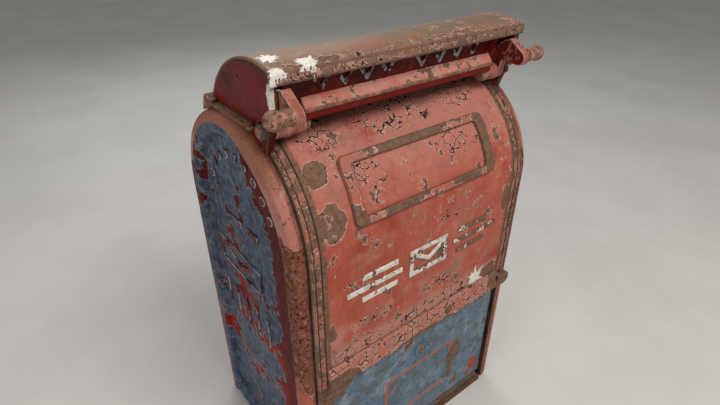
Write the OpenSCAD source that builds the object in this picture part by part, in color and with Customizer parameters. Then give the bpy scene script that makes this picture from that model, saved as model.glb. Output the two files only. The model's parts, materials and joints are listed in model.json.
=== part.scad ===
// Cast-iron letter box with a rolled steel body, a fixed hood over a pull-down
// letter flap, and a locked collection door at the foot of the front.
// Millimetres, +Z up. X runs across the width, and -Y is the front.
// The origin is the middle of the bounding box's bottom face.

/* [Body] */
// Overall width over the two side castings
body_w = 360; // [320:2:432]
// Depth of the side castings, front rim to back rim
body_d = 256; // [212:2:308]
// Height of the side castings to the top of the arch
body_h = 524; // [450:2:630]
// Thickness of the front and back sheets
sheet_t = 3; // [2:0.5:4]
// How far the sheets stand proud of the side castings' edge
sheet_proud = 2; // [1:0.5:3]
// Running gap between pieces that lie side by side
seam_gap = 0.2; // [0.1:0.05:0.4]

/* [Side castings] */
// Width of the rolled rim across the box
rim_w = 20; // [16:1:26]
// Width of the rolled rim measured inwards from its edge
rim_band = 28; // [22:1:34]
// Radius of the roll on the rim's outer corners
rim_roll = 9; // [5:0.5:10]
// How far the flat field lies behind the rim's outer face
field_recess = 10; // [4:1:13]
// Thickness of the flat field
field_t = 6; // [4:0.5:9]
// Width of the inner flange that carries the sheets' edges
flange_w = 19; // [14:1:26]
// Thickness of the inner flange
flange_t = 6.9; // [4:0.1:9]
// Width of the ridged strip over the sheets' edges
strip_w = 10; // [9:1:16]
// How far the generic marks stand out
mark_raise = 2; // [1:0.5:3]

/* [Front] */
// Height of the front sheet's lower edge
sheet_low = 218; // [190:2:250]
// How far the drip rail stands out in front of the rims
rail_out = 10; // [6:1:14]
// Height of the drip rail
rail_h = 32; // [24:1:40]
// Width of the card frame
card_w = 212; // [180:2:240]
// Height of the card frame along its chord
card_h = 75; // [60:1:84]
// Width of the card frame's band
card_band = 13; // [8:1:18]
// How far the card frame stands out from the sheet
card_raise = 5; // [3:0.5:7]
// Angle of the card frame's middle above the arch's centre line
card_tilt = 28.5; // [24:0.5:32]

/* [Hood] */
// Outer radius of the rolled hood sheet
hood_r = 111; // [104:1:120]
// Thickness of the hood sheet
hood_t = 3; // [2:0.5:4]
// Height of the hood's crest above the arch
hood_rise = 66; // [62:1:74]
// Thickness of a hood cheek
cheek_t = 9; // [6:1:10]

/* [Letter flap] */
// Forward distance of the flap's pivot from the arch's centre
pivot_fwd = 74; // [70:1:78]
// Height of the flap's pivot above the top of the arch
pivot_up = 3; // [2:0.5:5]
// Radius of the pivot pin
pin_r = 5; // [3.5:0.25:6]
// Radial running clearance of the pivot pin
pin_clear = 0.05; // [0.02:0.01:0.1]
// Radius of the boss around the pivot pin
boss_r = 9.2; // [8:0.1:10]
// Thickness of an ear
ear_t = 10.2; // [8:0.2:11]
// Radius of a ball knob
ball_r = 9.2; // [7:0.1:11]
// Height of the flap plate
flap_h = 31.5; // [29:0.5:32]
// Length of the letter tray behind the flap plate
tray_len = 58; // [50:1:62]
// Side of the square counterweight bar
weight_side = 14; // [10:1:16]

/* [Collection door] */
// Height of the door's top edge
door_top = 213; // [185:2:245]
// Depth of the door's folded edges
door_fold = 12; // [8:1:14]
// Sideways offset of the lock and of the door's moulding
lock_x = 10; // [-30:1:30]
// Radius of the lock plug
plug_r = 7; // [5:0.5:8]
// Throw of the lock bolt
bolt_throw = 7; // [5:0.5:8]
// Radius of the hinge barrel
barrel_r = 4; // [3:0.25:4.5]
// Radius of the hinge pin
hinge_r = 2; // [1.5:0.25:2.5]

/* [Fixings] */
// Radius of the four bolt holes in the back
back_hole_r = 4.5; // [3:0.5:7]
// Distance across between the back's bolt holes
back_span_x = 180; // [120:2:220]
// Height of the back's lower bolt holes
back_low_z = 130; // [60:2:160]
// Distance between the back's lower and upper bolt holes
back_span_z = 220; // [120:2:230]
// Radius of the four bolt holes in the base
base_hole_r = 5.5; // [3:0.5:7]
// Distance across between the base's bolt holes
base_span_x = 240; // [160:2:260]
// Distance between the base's front and back bolt holes
base_span_y = 140; // [80:2:150]

/* [Hidden] */
$fn = 48;
eps = 0.01;

half_w = body_w / 2;
arch_r = body_d / 2;
arch_y = arch_r;
spring_z = body_h - arch_r;
rim_x = half_w - rim_w;
rim_in = arch_r - rim_band;
field_x = half_w - field_recess;
strip_x = rim_x - strip_w;
sheet_out = arch_r + sheet_proud;
sheet_in = sheet_out - sheet_t;
flange_out = sheet_in - seam_gap / 2;
// front_y brings the bounding box's middle to y = 0
back_y = body_d + sheet_proud;
lap_w = 4.8;
lap_x = rim_x - 0.4 + lap_w + seam_gap;
front_y = (rail_out - back_y) / 2;
base_t = 8;
card_seat = 0.1;

// Throat between the front sheet and the back sheet, under the hood
throat_front = arch_y - 45;
throat_back = arch_y + 36;

// Hood
hood_y = arch_y - 61;
hood_z = body_h + hood_rise - hood_r;
hood_front = arch_y - 97;
hood_back = arch_y + 37;
hood_half = half_w - 10;
hood_lip_t = 5;
hood_lip_z = body_h + 49;
rail_z = body_h + 4.5;

// Letter flap
pivot_y = arch_y - pivot_fwd;
pivot_z = body_h + pivot_up;
boss_len = 22;
ear_x = strip_x;
flap_y = arch_y - 78;
flap_t = 3;
flap_z = body_h + 17;
ledge_half = half_w - 48;
tray_slope = 20;
tray_t = 2.5;
tray_y = flap_y + flap_t;
tray_z = flap_z + 4;
tray_half = half_w - 58;
pin_head_x = strip_x - boss_len - 0.4;
bracket_x = ear_x + ear_t + 0.8;
bracket_out = hood_half - 1;
bracket_r = pin_r + 3.2;

// Collection door
door_y = 4;
door_t = 3;
door_half = rim_x - 1.2;
hinge_y = door_y + 1;
hinge_z = base_t + 8;
door_low = hinge_z + barrel_r + 1;
leaf_t = 2;
lock_z = door_top - 42;
header_z = sheet_low - 1;
header_t = 6;
strike_t = 1.8;
bolt_half = 9;
bolt_y = door_y + 9;
bolt_t = 4;
bolt_top = door_top - 0.5;
cam_r = 1.5;
cam_arm = bolt_throw / 2;
case_half = 28;
case_deep = 16;
case_wall = 2;

// Bolt patterns
back_bolt_z = [back_low_z, back_low_z + back_span_z];

// ---- Helpers ----

// Stands a (y, z) outline on the X axis between x0 and x1.
module along_x(x0, x1) {
    translate([x0, 0, 0]) rotate([90, 0, 90]) linear_extrude(x1 - x0) children();
}

// A cylinder along X between x0 and x1, round the line at y, z.
module rod_x(x0, x1, y, z, r) {
    translate([x0, y, z]) rotate([0, 90, 0]) cylinder(r = r, h = x1 - x0);
}

// A cylinder along Y between y0 and y1, round the line at x, z.
module rod_y(y0, y1, x, z, r) {
    translate([x, y0, z]) rotate([-90, 0, 0]) cylinder(r = r, h = y1 - y0);
}

// Stands an (x, z) outline on the Y axis between y0 and y1.
module along_y(y0, y1) {
    translate([0, y1, 0]) rotate([90, 0, 0]) linear_extrude(y1 - y0) children();
}

// A box from its lowest and highest corners.
module block(low, high) {
    translate(low) cube(high - low);
}

// The body's side view: straight walls with a half-round top of radius r.
module arch_outline(r, z0) {
    translate([arch_y, spring_z]) circle(r, $fn = 96);
    translate([arch_y - r, z0]) square([2 * r, spring_z - z0]);
}

// Sweeps a (radius, x) section up the front, over the arch and down the back.
module arch_sweep(front_z, rear_z) {
    translate([0, arch_y, spring_z])
        rotate([90, 0, 90]) rotate_extrude(angle = 180, $fn = 96) children();
    translate([0, arch_y, front_z])
        linear_extrude(spring_z - front_z) rotate(-90) children();
    translate([0, arch_y, rear_z])
        mirror([0, 1, 0]) linear_extrude(spring_z - rear_z) rotate(-90) children();
}

// A rectangle of half sizes hx, hy with rounded corners, centred.
module rounded_rect(hx, hy, r) {
    square([2 * (hx - r), 2 * hy], center = true);
    square([2 * hx, 2 * (hy - r)], center = true);
    for (sx = [-1, 1], sy = [-1, 1]) {
        translate([sx * (hx - r), sy * (hy - r)]) circle(r);
    }
}

// A straight stroke of width w between two points, with square ends.
module stroke(a, b, w) {
    run = b - a;
    translate(a) rotate(atan2(run[1], run[0])) translate([0, -w / 2]) square([norm(run), w]);
}

// A plain envelope: a frame with a flap's two folds inside it, centred.
module envelope(hx, hy, w) {
    difference() {
        square([2 * hx, 2 * hy], center = true);
        square([2 * (hx - w), 2 * (hy - w)], center = true);
    }
    intersection() {
        square([2 * hx, 2 * hy], center = true);
        union() {
            stroke([-hx, hy - w / 2], [w / 4, -hy * 0.2], w);
            stroke([hx, hy - w / 2], [-w / 4, -hy * 0.2], w);
        }
    }
}

// Mirrors a right-hand piece for the left-hand side when side is -1.
module on_side(side) {
    mirror([side < 0 ? 1 : 0, 0, 0]) children();
}

// Moves a piece from the front-rim frame into the part's own frame.
module place() {
    translate([0, front_y, 0]) children();
}

// ---- Side castings ----

module rim_section() {
    translate([rim_in, rim_x]) {
        square([rim_band, rim_w - rim_roll]);
        translate([rim_roll, 0]) square([rim_band - 2 * rim_roll, rim_w]);
        for (u = [rim_roll, rim_band - rim_roll]) {
            translate([u, rim_w - rim_roll]) circle(rim_roll);
        }
    }
}

// The bottom rail's section, rolled on its outer corners like the rim.
module foot_section() {
    translate([rim_x, 0]) {
        square([rim_w - rim_roll, rim_band]);
        translate([0, rim_roll]) square([rim_w, rim_band - 2 * rim_roll]);
        for (v = [rim_roll, rim_band - rim_roll]) {
            translate([rim_w - rim_roll, v]) circle(rim_roll);
        }
    }
}

module side_casting(side) {
    stop_y = door_y + door_t + door_fold + 1.5;
    chamfer = 7;
    color("firebrick") place() on_side(side) difference() {
        union() {
            arch_sweep(0, 0) rim_section();
            along_y(rim_roll, body_d - rim_roll) foot_section();
            along_x(field_x - field_t, field_x) arch_outline(rim_in + 2, rim_roll);
            arch_sweep(sheet_low, base_t + seam_gap)
                translate([flange_out - flange_t, rim_x - flange_w]) square([flange_t, flange_w + eps]);
            // Stop behind the collection door's edge
            block([rim_x - 8, stop_y, base_t + seam_gap], [rim_x + eps, stop_y + 4, sheet_low - 3]);
        }
        // Chamfered foot at the front and at the back
        along_x(rim_x - 1, half_w + 1) {
            polygon([[-1, -1], [chamfer, -1], [-1, chamfer]]);
            translate([body_d, 0]) polygon([[1, -1], [-chamfer, -1], [1, chamfer]]);
        }
    }
}

// Generic raised marks on the field: studs on an arc, bars and an envelope.
module side_mark(side) {
    studs = 9;
    stud_arc = rim_in - 23;
    pitch = (rim_in - 16) / 3;
    color("lightgray") place() on_side(side) along_x(field_x, field_x + mark_raise) {
        for (i = [0 : studs - 1]) {
            a = 25 + i * 130 / (studs - 1);
            translate([arch_y + stud_arc * cos(a), spring_z + stud_arc * sin(a)]) circle(5.5);
        }
        for (dy = [-20, 20]) {
            translate([arch_y + dy, spring_z - 13]) square([26, 8], center = true);
        }
        translate([arch_y + pitch, spring_z - 84]) envelope(56, 21, 7);
        for (i = [0 : 4]) {
            translate([arch_y + (i - 1) * pitch, spring_z - 159]) square([9, 46], center = true);
        }
    }
}

module side_left() { side_casting(-1); }
module side_right() { side_casting(1); }
module side_marks_left() { side_mark(-1); }
module side_marks_right() { side_mark(1); }

// ---- Ridged strips over the sheets' edges ----

// A flat band beside the sheet, and a lap with two ridges over the casting's edge.
module edge_strip(side) {
    ridge_r = 1.2;
    lap_in = lap_x - seam_gap - lap_w;
    color("rosybrown") place() on_side(side) difference() {
        union() {
            arch_sweep(sheet_low, base_t + seam_gap)
                translate([sheet_in, strip_x + seam_gap]) square([sheet_t, strip_w - 2 * seam_gap]);
            arch_sweep(base_t + seam_gap, base_t + seam_gap) {
                translate([arch_r + 0.1, lap_in]) square([sheet_proud - 0.1, lap_w]);
                for (x = [lap_in + ridge_r, lap_in + lap_w - ridge_r]) {
                    translate([sheet_out, x]) circle(ridge_r, $fn = 24);
                }
            }
        }
        // The ridges stop where the back is flat, so that the back sheet can rest on a wall
        block([0, back_y, -1], [half_w, back_y + 10, spring_z]);
    }
}

module edge_strip_left() { edge_strip(-1); }
module edge_strip_right() { edge_strip(1); }

// ---- Sheets ----

module sheet_outline(out_r, in_r) {
    difference() {
        arch_outline(out_r, base_t + seam_gap);
        arch_outline(in_r, 0);
    }
}

module front_region() {
    translate([-50, sheet_low]) square([50 + throat_front, body_h]);
}

module front_sheet() {
    bead_raise = 1.2;
    bead_w = 3;
    bead_in = 5.5;
    color("salmon") place() {
        along_x(-strip_x, strip_x) intersection() {
            sheet_outline(sheet_out, sheet_in);
            front_region();
        }
        // Raised bead along each side edge
        for (side = [-1, 1]) on_side(side)
            along_x(strip_x - bead_in, strip_x - bead_in + bead_w) intersection() {
                sheet_outline(sheet_out + bead_raise, sheet_in + eps);
                translate([0, rail_h + 1]) front_region();
            }
    }
}

module back_sheet() {
    color("indianred") place() difference() {
        along_x(-strip_x, strip_x) intersection() {
            sheet_outline(sheet_out, sheet_in);
            translate([throat_back, 0]) square([body_d, body_h + 50]);
        }
        back_holes();
    }
}

module back_holes() {
    for (side = [-1, 1], z = back_bolt_z) {
        rod_y(body_d - 30, body_d + 30, side * back_span_x / 2, z, back_hole_r);
    }
}

// Flared rail along the front sheet's lower edge, with a rounded lug at its right end.
module drip_rail() {
    lug_r = 10.5;
    lug_z = sheet_low + 1.5 + lug_r;
    lug_x = rim_x + 2.5;
    face = -sheet_proud - seam_gap;
    lug_back = face - 1.6;
    color("rosybrown") place() {
        along_x(-strip_x, strip_x)
            polygon([[face, sheet_low], [2 - rail_out, sheet_low], [-rail_out, sheet_low + 3],
                [face - 3.5, sheet_low + rail_h - 6], [face, sheet_low + rail_h]]);
        along_y(-rail_out, lug_back) {
            translate([lug_x, lug_z]) circle(lug_r);
            translate([strip_x - 2, lug_z - lug_r]) square([lug_x - strip_x + 2, 2 * lug_r]);
        }
    }
}

// ---- Card frame ----

// Turns a flat outline to face along the card frame's middle direction.
module card_prism() {
    translate([0, arch_y, spring_z]) rotate([90 - card_tilt, 0, 0])
        linear_extrude(arch_r * 1.5) children();
}

// A tube concentric with the arch, standing off the sheet between two heights.
module card_shell(low, high) {
    difference() {
        rod_x(-strip_x, strip_x, arch_y, spring_z, sheet_out + high, $fn = 96);
        rod_x(-strip_x - 1, strip_x + 1, arch_y, spring_z, sheet_out + low, $fn = 96);
    }
}

module card_frame() {
    color("rosybrown") place() difference() {
        intersection() {
            card_shell(card_seat, card_seat + card_raise);
            card_prism() rounded_rect(card_w / 2, card_h / 2, 8);
        }
        card_prism() rounded_rect(card_w / 2 - card_band, card_h / 2 - card_band * 0.75, 3);
    }
}

module card_plate() {
    plate_t = 0.8;
    color("salmon") place() intersection() {
        card_shell(card_seat, card_seat + plate_t);
        card_prism() rounded_rect(card_w / 2 - card_band - seam_gap,
            card_h / 2 - card_band * 0.75 - seam_gap, 3);
    }
}

// Generic raised marks on the front: an envelope between stacked bars.
module front_marks() {
    mark_z = sheet_low + 124;
    bar_t = 7;
    color("lightgray") place()
        along_y(-sheet_proud - mark_raise, -sheet_proud) translate([2, mark_z]) {
            envelope(31, 19, 6);
            for (side = [-1, 1], row = [-1 : 1]) {
                reach = [26, 40, 26][row + 1];
                translate([side * (76 + (40 - 26) / 2 - 7 + (reach - 26) / 2), row * 15])
                    square([2 * reach, bar_t], center = true);
            }
        }
}

// ---- Base and back ----

module base_plate() {
    color("saddlebrown") place() difference() {
        union() {
            block([-rim_x + seam_gap, 0, 0], [rim_x - seam_gap, body_d - 1.2, base_t]);
            // Upstand along the front edge
            block([-rim_x + 1, -1, 0], [rim_x - 1, 3, base_t + 3.2]);
        }
        for (sx = [-1, 1], sy = [-1, 1]) {
            translate([sx * base_span_x / 2, arch_y + sy * base_span_y / 2, -1])
                cylinder(r = base_hole_r, h = base_t + 2);
        }
    }
}

// Stiffening strap inside the back sheet, behind one row of bolt holes.
module mount_strap(z) {
    strap_h = 32;
    strap_t = 5;
    y1 = body_d + sheet_proud - sheet_t - seam_gap / 2;
    color("dimgray") place() difference() {
        reach = rim_x - flange_w - seam_gap;
        block([-reach, y1 - strap_t, z - strap_h / 2], [reach, y1, z + strap_h / 2]);
        back_holes();
    }
}

module mount_strap_lower() { mount_strap(back_bolt_z[0]); }
module mount_strap_upper() { mount_strap(back_bolt_z[1]); }

// Bar behind the front sheet's lower edge, above the door.
module door_header() {
    reach = rim_x - flange_w - seam_gap;
    y0 = sheet_t - sheet_proud + seam_gap / 2;
    color("firebrick") place() difference() {
        block([-reach, y0, header_z], [reach, y0 + 23, header_z + header_t]);
        bolt_slot(1.5);
    }
}

// Space that the lock bolt rises into, with a clearance all round.
module bolt_slot(gap) {
    block([lock_x - bolt_half - gap, bolt_y - gap, header_z - 10],
        [lock_x + bolt_half + gap, bolt_y + bolt_t + gap, header_z + 20]);
}

module strike_plate() {
    color("silver") place() difference() {
        block([lock_x - 20, bolt_y - 6, header_z - strike_t - 0.1],
            [lock_x + 20, bolt_y + 10, header_z - 0.1]);
        bolt_slot(1);
    }
}

// ---- Hood ----

module hood_shell() {
    color("indianred") place() {
        along_x(-hood_half, hood_half) {
            difference() {
                translate([hood_y, hood_z]) circle(hood_r, $fn = 120);
                translate([hood_y, hood_z]) circle(hood_r - hood_t, $fn = 120);
                translate([hood_y - 2 * hood_r, hood_z - 2 * hood_r])
                    square([4 * hood_r, 2 * hood_r + hood_foot()]);
                translate([hood_y - 2 * hood_r, hood_z])
                    square([hood_front - hood_y + 2 * hood_r + eps, 2 * hood_r]);
            }
            // Turned-down front lip
            intersection() {
                translate([hood_front, hood_lip_z]) square([hood_lip_t, 30]);
                translate([hood_y, hood_z]) circle(hood_r, $fn = 120);
            }
        }
    }
}

// Height of the hood sheet's rear edge above the hood's centre.
function hood_foot() = sqrt(pow(hood_r, 2) - pow(hood_back - hood_y, 2));

module hood_cheek(side) {
    inner_r = hood_r - hood_t - 0.15;
    post_y = hood_front + hood_lip_t + seam_gap;
    color("darkred") place() on_side(side) along_x(hood_half - cheek_t, hood_half) difference() {
        intersection() {
            translate([hood_y, hood_z]) circle(inner_r, $fn = 120);
            translate([post_y, rail_z]) square([hood_back - 6 - seam_gap - post_y, 100]);
        }
        // Relief over the pivot bracket's round head
        translate([pivot_y, pivot_z]) circle(bracket_r + 1);
        translate([pivot_y - 40, rail_z - 1]) square([40 + bracket_r + 1, 8]);
    }
}

module hood_cheek_left() { hood_cheek(-1); }
module hood_cheek_right() { hood_cheek(1); }

// Saddle that carries the hood: side rails with a flange, fascia and rear slope.
module hood_base() {
    rail_in = rim_x + 1;
    rail_front = arch_y - 44;
    flange_front = rail_front - 16;
    flange_edge = half_w - 2;
    rear = hood_back + 15;
    color("firebrick") place() difference() {
        union() {
            for (side = [-1, 1]) on_side(side) {
                along_x(rail_in, hood_half)
                    translate([rail_front, rail_z - 50]) square([hood_back - rail_front, 49.8]);
                along_x(hood_half - eps, flange_edge)
                    translate([flange_front, rail_z - 3.2]) square([hood_back - flange_front, 3]);
            }
            // Rear slope under the hood sheet's rear edge
            along_x(-flange_edge, flange_edge)
                polygon([[hood_back - 6, rail_z - 40], [hood_back - 6, rail_z - 0.2],
                    [hood_back, rail_z + 1.8], [hood_back + 1.5, rail_z + 6],
                    [hood_back + 3.5, rail_z + 6], [rear, rail_z - 19], [rear, rail_z - 40]]);
            // Fascia across the throat's front edge
            along_x(-hood_half + eps, hood_half - eps)
                translate([throat_front + 0.3, rail_z - 40]) square([3.5, 40]);
        }
        along_x(-lap_x, lap_x) arch_outline(sheet_out + 1.5, 0);
        along_x(rim_x - 1, half_w + 1) arch_outline(arch_r + seam_gap, 0);
        mirror([1, 0, 0]) along_x(rim_x - 1, half_w + 1) arch_outline(arch_r + seam_gap, 0);
    }
}

// Bolts that hold the saddle's flange down, one behind the other on each side.
module hood_bolts() {
    head_r = 3.8;
    color("silver") place() for (side = [-1, 1], y = [arch_y - 55, hood_back - 12]) on_side(side)
        translate([half_w - 5.9, y, rail_z - 0.2]) cylinder(r = head_r, h = 4, $fn = 6);
}

// ---- Flap pivots ----

module pivot_bracket(side) {
    front = pivot_y + 6;
    rear = arch_y - 46;
    color("darkred") place() on_side(side) difference() {
        along_x(bracket_x, bracket_out) {
            translate([pivot_y, pivot_z]) circle(bracket_r);
            polygon([[pivot_y - bracket_r, pivot_z], [front, pivot_z - 40], [rear, pivot_z - 40],
                [rear, rail_z - 0.4], [pivot_y + bracket_r, rail_z - 0.4], [pivot_y + bracket_r, pivot_z]]);
        }
        along_x(bracket_x - 1, half_w) arch_outline(arch_r + seam_gap, 0);
        along_x(bracket_x - 1, lap_x) arch_outline(sheet_out + 1.5, 0);
        rod_x(bracket_x - 1, half_w, pivot_y, pivot_z, pin_r + pin_clear);
    }
}

module pivot_bracket_left() { pivot_bracket(-1); }
module pivot_bracket_right() { pivot_bracket(1); }

module pivot_pin(side) {
    head_r = boss_r - 0.8;
    head_t = 4.5;
    slot_w = 1.6;
    color("tan") place() on_side(side) difference() {
        union() {
            rod_x(pin_head_x - eps, bracket_out + 6.5, pivot_y, pivot_z, pin_r);
            rod_x(pin_head_x - head_t, pin_head_x, pivot_y, pivot_z, head_r);
        }
        translate([pin_head_x - head_t, pivot_y, pivot_z])
            cube([2.4, 3 * head_r, slot_w], center = true);
    }
}

module pivot_pin_left() { pivot_pin(-1); }
module pivot_pin_right() { pivot_pin(1); }

module pivot_nut(side) {
    color("silver") place() on_side(side) difference() {
        translate([bracket_out + seam_gap, pivot_y, pivot_z]) rotate([0, 90, 0])
            cylinder(r = pin_r + 3, h = 4.5, $fn = 6);
        rod_x(bracket_out - 1, bracket_out + 20, pivot_y, pivot_z, pin_r + pin_clear);
    }
}

module pivot_nut_left() { pivot_nut(-1); }
module pivot_nut_right() { pivot_nut(1); }

// ---- Letter flap ----

module flap_plate() {
    color("darkred") place()
        block([-ear_x + 0.1, flap_y, flap_z], [ear_x - 0.1, flap_y + flap_t, flap_z + flap_h]);
}

// Generic marks on the flap: two rows of downward chevrons.
module flap_marks() {
    low = flap_z + 13.5;
    tall = 15;
    half = 9;
    color("lightsteelblue") place() along_y(flap_y - mark_raise * 0.8, flap_y)
        for (i = [0 : 3], side = [-1, 1]) {
            translate([side * (24 + i * 27) - 3, low]) {
                stroke([-half, tall], [0.8, 1.5], 4);
                stroke([half, tall], [-0.8, 1.5], 4);
            }
        }
}

// Sloped ledge along the foot of the flap plate.
// Sloping ledge with a thin lip, and a skirt that closes the gap down to the front sheet.
module flap_ledge() {
    front = flap_y - 9;
    skirt_y = front + 1.5;
    skirt_t = 3;
    skirt_z = flap_z - 9;
    lip_z = flap_z - 1.5;
    color("rosybrown") place() along_x(-ledge_half, ledge_half)
        polygon([[skirt_y, skirt_z], [skirt_y + skirt_t, skirt_z], [skirt_y + skirt_t, flap_z],
            [flap_y, flap_z], [flap_y, flap_z + 11.8], [flap_y - 1, flap_z + 11.8],
            [front, flap_z + 2], [front, lip_z], [skirt_y, lip_z]]);
}

// Places a (run, rise) outline in the letter tray's sloping frame.
module tray_frame() {
    translate([0, tray_y, tray_z]) rotate([-tray_slope, 0, 0]) children();
}

module flap_tray() {
    color("firebrick") place() difference() {
        tray_frame() block([-tray_half, 0, -tray_t], [tray_half, tray_len, 0]);
        block([-half_w, tray_y - 20, tray_z - 20], [half_w, tray_y + 0.05, tray_z + 20]);
    }
}

module counterweight() {
    color("dimgray") place() tray_frame()
        block([4 - tray_half, tray_len - weight_side, -tray_t - weight_side],
            [tray_half - 4, tray_len, -tray_t]);
}

// Ear: a paddle plate on the pivot boss, with the pull knob at its nose.
module ear(side) {
    nose_r = 9;
    nose = [flap_y - 30.5, flap_z + 8.1];
    tip = [flap_y - 16.7, flap_z + 28.2];
    color("firebrick") place() on_side(side) difference() {
        union() {
            along_x(ear_x, ear_x + ear_t) {
                translate(nose) circle(nose_r);
                polygon([[nose[0] - 6, nose[1] + 6.7], tip, tip + [8, -3.1], tip + [14.5, -7.8],
                    [flap_y + 4, flap_z + 9], [pivot_y + boss_r, pivot_z],
                    [pivot_y - boss_r, pivot_z], [flap_y - 8, flap_z + 1],
                    [nose[0] + 1, nose[1] - nose_r]]);
                translate([pivot_y, pivot_z]) circle(boss_r);
            }
            rod_x(ear_x - boss_len, ear_x + eps, pivot_y, pivot_z, boss_r);
            rod_x(ear_x - 4, ear_x + eps, pivot_y, pivot_z, boss_r + 1);
        }
        rod_x(ear_x - boss_len - 1, ear_x + ear_t + 1, pivot_y, pivot_z, pin_r + pin_clear);
    }
}

module ear_left() { ear(-1); }
module ear_right() { ear(1); }

module knob(side) {
    y = flap_y - 34.5;
    z = flap_z + 10.7;
    x0 = ear_x + ear_t;
    ball_x = half_w - 1.5;
    color("tan") place() on_side(side) {
        translate([x0, y, z]) rotate([0, 90, 0])
            cylinder(r1 = ball_r * 0.88, r2 = ball_r * 0.76, h = ball_x - x0);
        translate([ball_x, y, z]) sphere(ball_r);
    }
}

module knob_left() { knob(-1); }
module knob_right() { knob(1); }

// Pads on the fascia that the closed tray rests against.
module stop_buffers() {
    pad = 8;
    y0 = throat_front + 0.3;
    top = tray_z - tray_t / cos(tray_slope) - (y0 + 3.5 - tray_y) * tan(tray_slope) - 0.3;
    color("black") place() for (side = [-1, 1]) on_side(side)
        block([tray_half - 20, y0, rail_z], [tray_half - 20 + pad, y0 + 3.5, top]);
}

// ---- Collection door ----

module door_panel() {
    fold_t = 2.5;
    bead = 1.8;
    bead_w = 6;
    mould_x = 65.5;
    mould_z = [sheet_low - 156, sheet_low - 69];
    back = door_y + door_t + door_fold;
    color("steelblue") place() difference() {
        union() {
            block([-door_half, door_y, door_low], [door_half, door_y + door_t, door_top]);
            for (side = [-1, 1]) on_side(side)
                block([door_half - fold_t, door_y, door_low], [door_half, back, door_top]);
            block([-door_half, door_y, door_top - fold_t], [door_half, back, door_top]);
            // Raised moulding: a rectangle below the lock and a line above it
            along_y(door_y - bead, door_y + eps) difference() {
                translate([lock_x - mould_x, mould_z[0]])
                    square([2 * mould_x, mould_z[1] - mould_z[0]]);
                translate([lock_x - mould_x + bead_w, mould_z[0] + bead_w])
                    square([2 * (mould_x - bead_w), mould_z[1] - mould_z[0] - 2 * bead_w]);
            }
            block([10 - door_half, door_y - 1.2, door_top - 25],
                [door_half - 10, door_y + eps, door_top - 22]);
        }
        rod_y(door_y - 5, back, lock_x, lock_z, plug_r + 0.3);
        bolt_way(0.5);
    }
}

// Space that the lock bolt slides through, with a clearance all round.
module bolt_way(gap) {
    block([lock_x - bolt_half - gap, bolt_y - gap, door_top - 8],
        [lock_x + bolt_half + gap, bolt_y + bolt_t + gap, door_top + 5]);
}

module lock_ring() {
    ring_r = plug_r + 4.5;
    color("lightsteelblue") place() difference() {
        rod_y(door_y - 1.8, door_y, lock_x, lock_z, ring_r);
        rod_y(door_y - 3, door_y + 1, lock_x, lock_z, plug_r + 0.3);
    }
}

module lock_plug() {
    cam_from = bolt_y - 0.5;
    color("silver") place() difference() {
        union() {
            rod_y(door_y - 1, cam_from, lock_x, lock_z, plug_r);
            rod_y(cam_from - eps, bolt_y + bolt_t + 1, lock_x + cam_arm, lock_z - cam_arm, cam_r);
        }
        // Keyway
        block([lock_x - 0.9, door_y - 2, lock_z - 4], [lock_x + 0.9, door_y + 4, lock_z + 4]);
    }
}

module lock_case() {
    y0 = door_y + door_t + 0.05;
    z0 = lock_z - 25;
    z1 = lock_z + 27;
    color("dimgray") place() difference() {
        block([lock_x - case_half, y0, z0], [lock_x + case_half, y0 + case_deep, z1]);
        block([lock_x - case_half + case_wall, y0 + case_wall, z0 + case_wall],
            [lock_x + case_half - case_wall, y0 + case_deep + 1, z1 - case_wall]);
        rod_y(y0 - 1, y0 + case_wall + 1, lock_x, lock_z, plug_r + 0.05);
        block([lock_x - bolt_half - 0.4, bolt_y - 0.4, z1 - case_wall - 1],
            [lock_x + bolt_half + 0.4, bolt_y + bolt_t + 0.4, z1 + 1]);
    }
}

module lock_cover() {
    y1 = door_y + door_t + 0.05 + case_deep;
    inset = case_wall + 0.1;
    color("silver") place()
        block([lock_x - case_half + inset, y1 - 1.8, lock_z - 25 + inset],
            [lock_x + case_half - inset, y1, lock_z + 27 - inset]);
}

module lock_screws() {
    y1 = door_y + door_t + 0.05 + case_deep;
    color("tan") place() for (sx = [-1, 1], z = [lock_z - 17, lock_z + 19])
        rod_y(y1, y1 + 1.5, lock_x + sx * (case_half - 8), z, 3);
}

module lock_bolt() {
    low = lock_z - cam_arm - 12;
    slot = cam_r + 0.4;
    color("silver") place() difference() {
        block([lock_x - bolt_half, bolt_y, low], [lock_x + bolt_half, bolt_y + bolt_t, bolt_top]);
        block([lock_x - bolt_half + 2, bolt_y - 1, lock_z - cam_arm - slot],
            [lock_x + bolt_half - 2, bolt_y + bolt_t + 1, lock_z - cam_arm + slot]);
    }
}

// ---- Door hinge ----

// Knuckle spans along X: even ones belong to the base, odd ones to the door.
knuckles = 5;
knuckle_gap = 0.5;
function knuckle_edge(i) = -door_half + 8 + i * 2 * (door_half - 8) / knuckles;

module knuckle_row(first) {
    for (i = [first : 2 : knuckles - 1]) {
        rod_x(knuckle_edge(i) + knuckle_gap / 2, knuckle_edge(i + 1) - knuckle_gap / 2,
            hinge_y, hinge_z, barrel_r);
    }
}

module knuckle_bore() {
    rod_x(-half_w, half_w, hinge_y, hinge_z, hinge_r + 0.04);
}

module door_leaf() {
    y0 = hinge_y + barrel_r - leaf_t;
    color("dimgray") place() difference() {
        union() {
            knuckle_row(1);
            for (i = [1 : 2 : knuckles - 1])
                block([knuckle_edge(i) + knuckle_gap / 2, y0, hinge_z],
                    [knuckle_edge(i + 1) - knuckle_gap / 2, y0 + leaf_t, door_low + 1]);
            block([knuckle_edge(0), y0, door_low], [knuckle_edge(knuckles), y0 + leaf_t, door_low + 24]);
        }
        knuckle_bore();
    }
}

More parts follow.
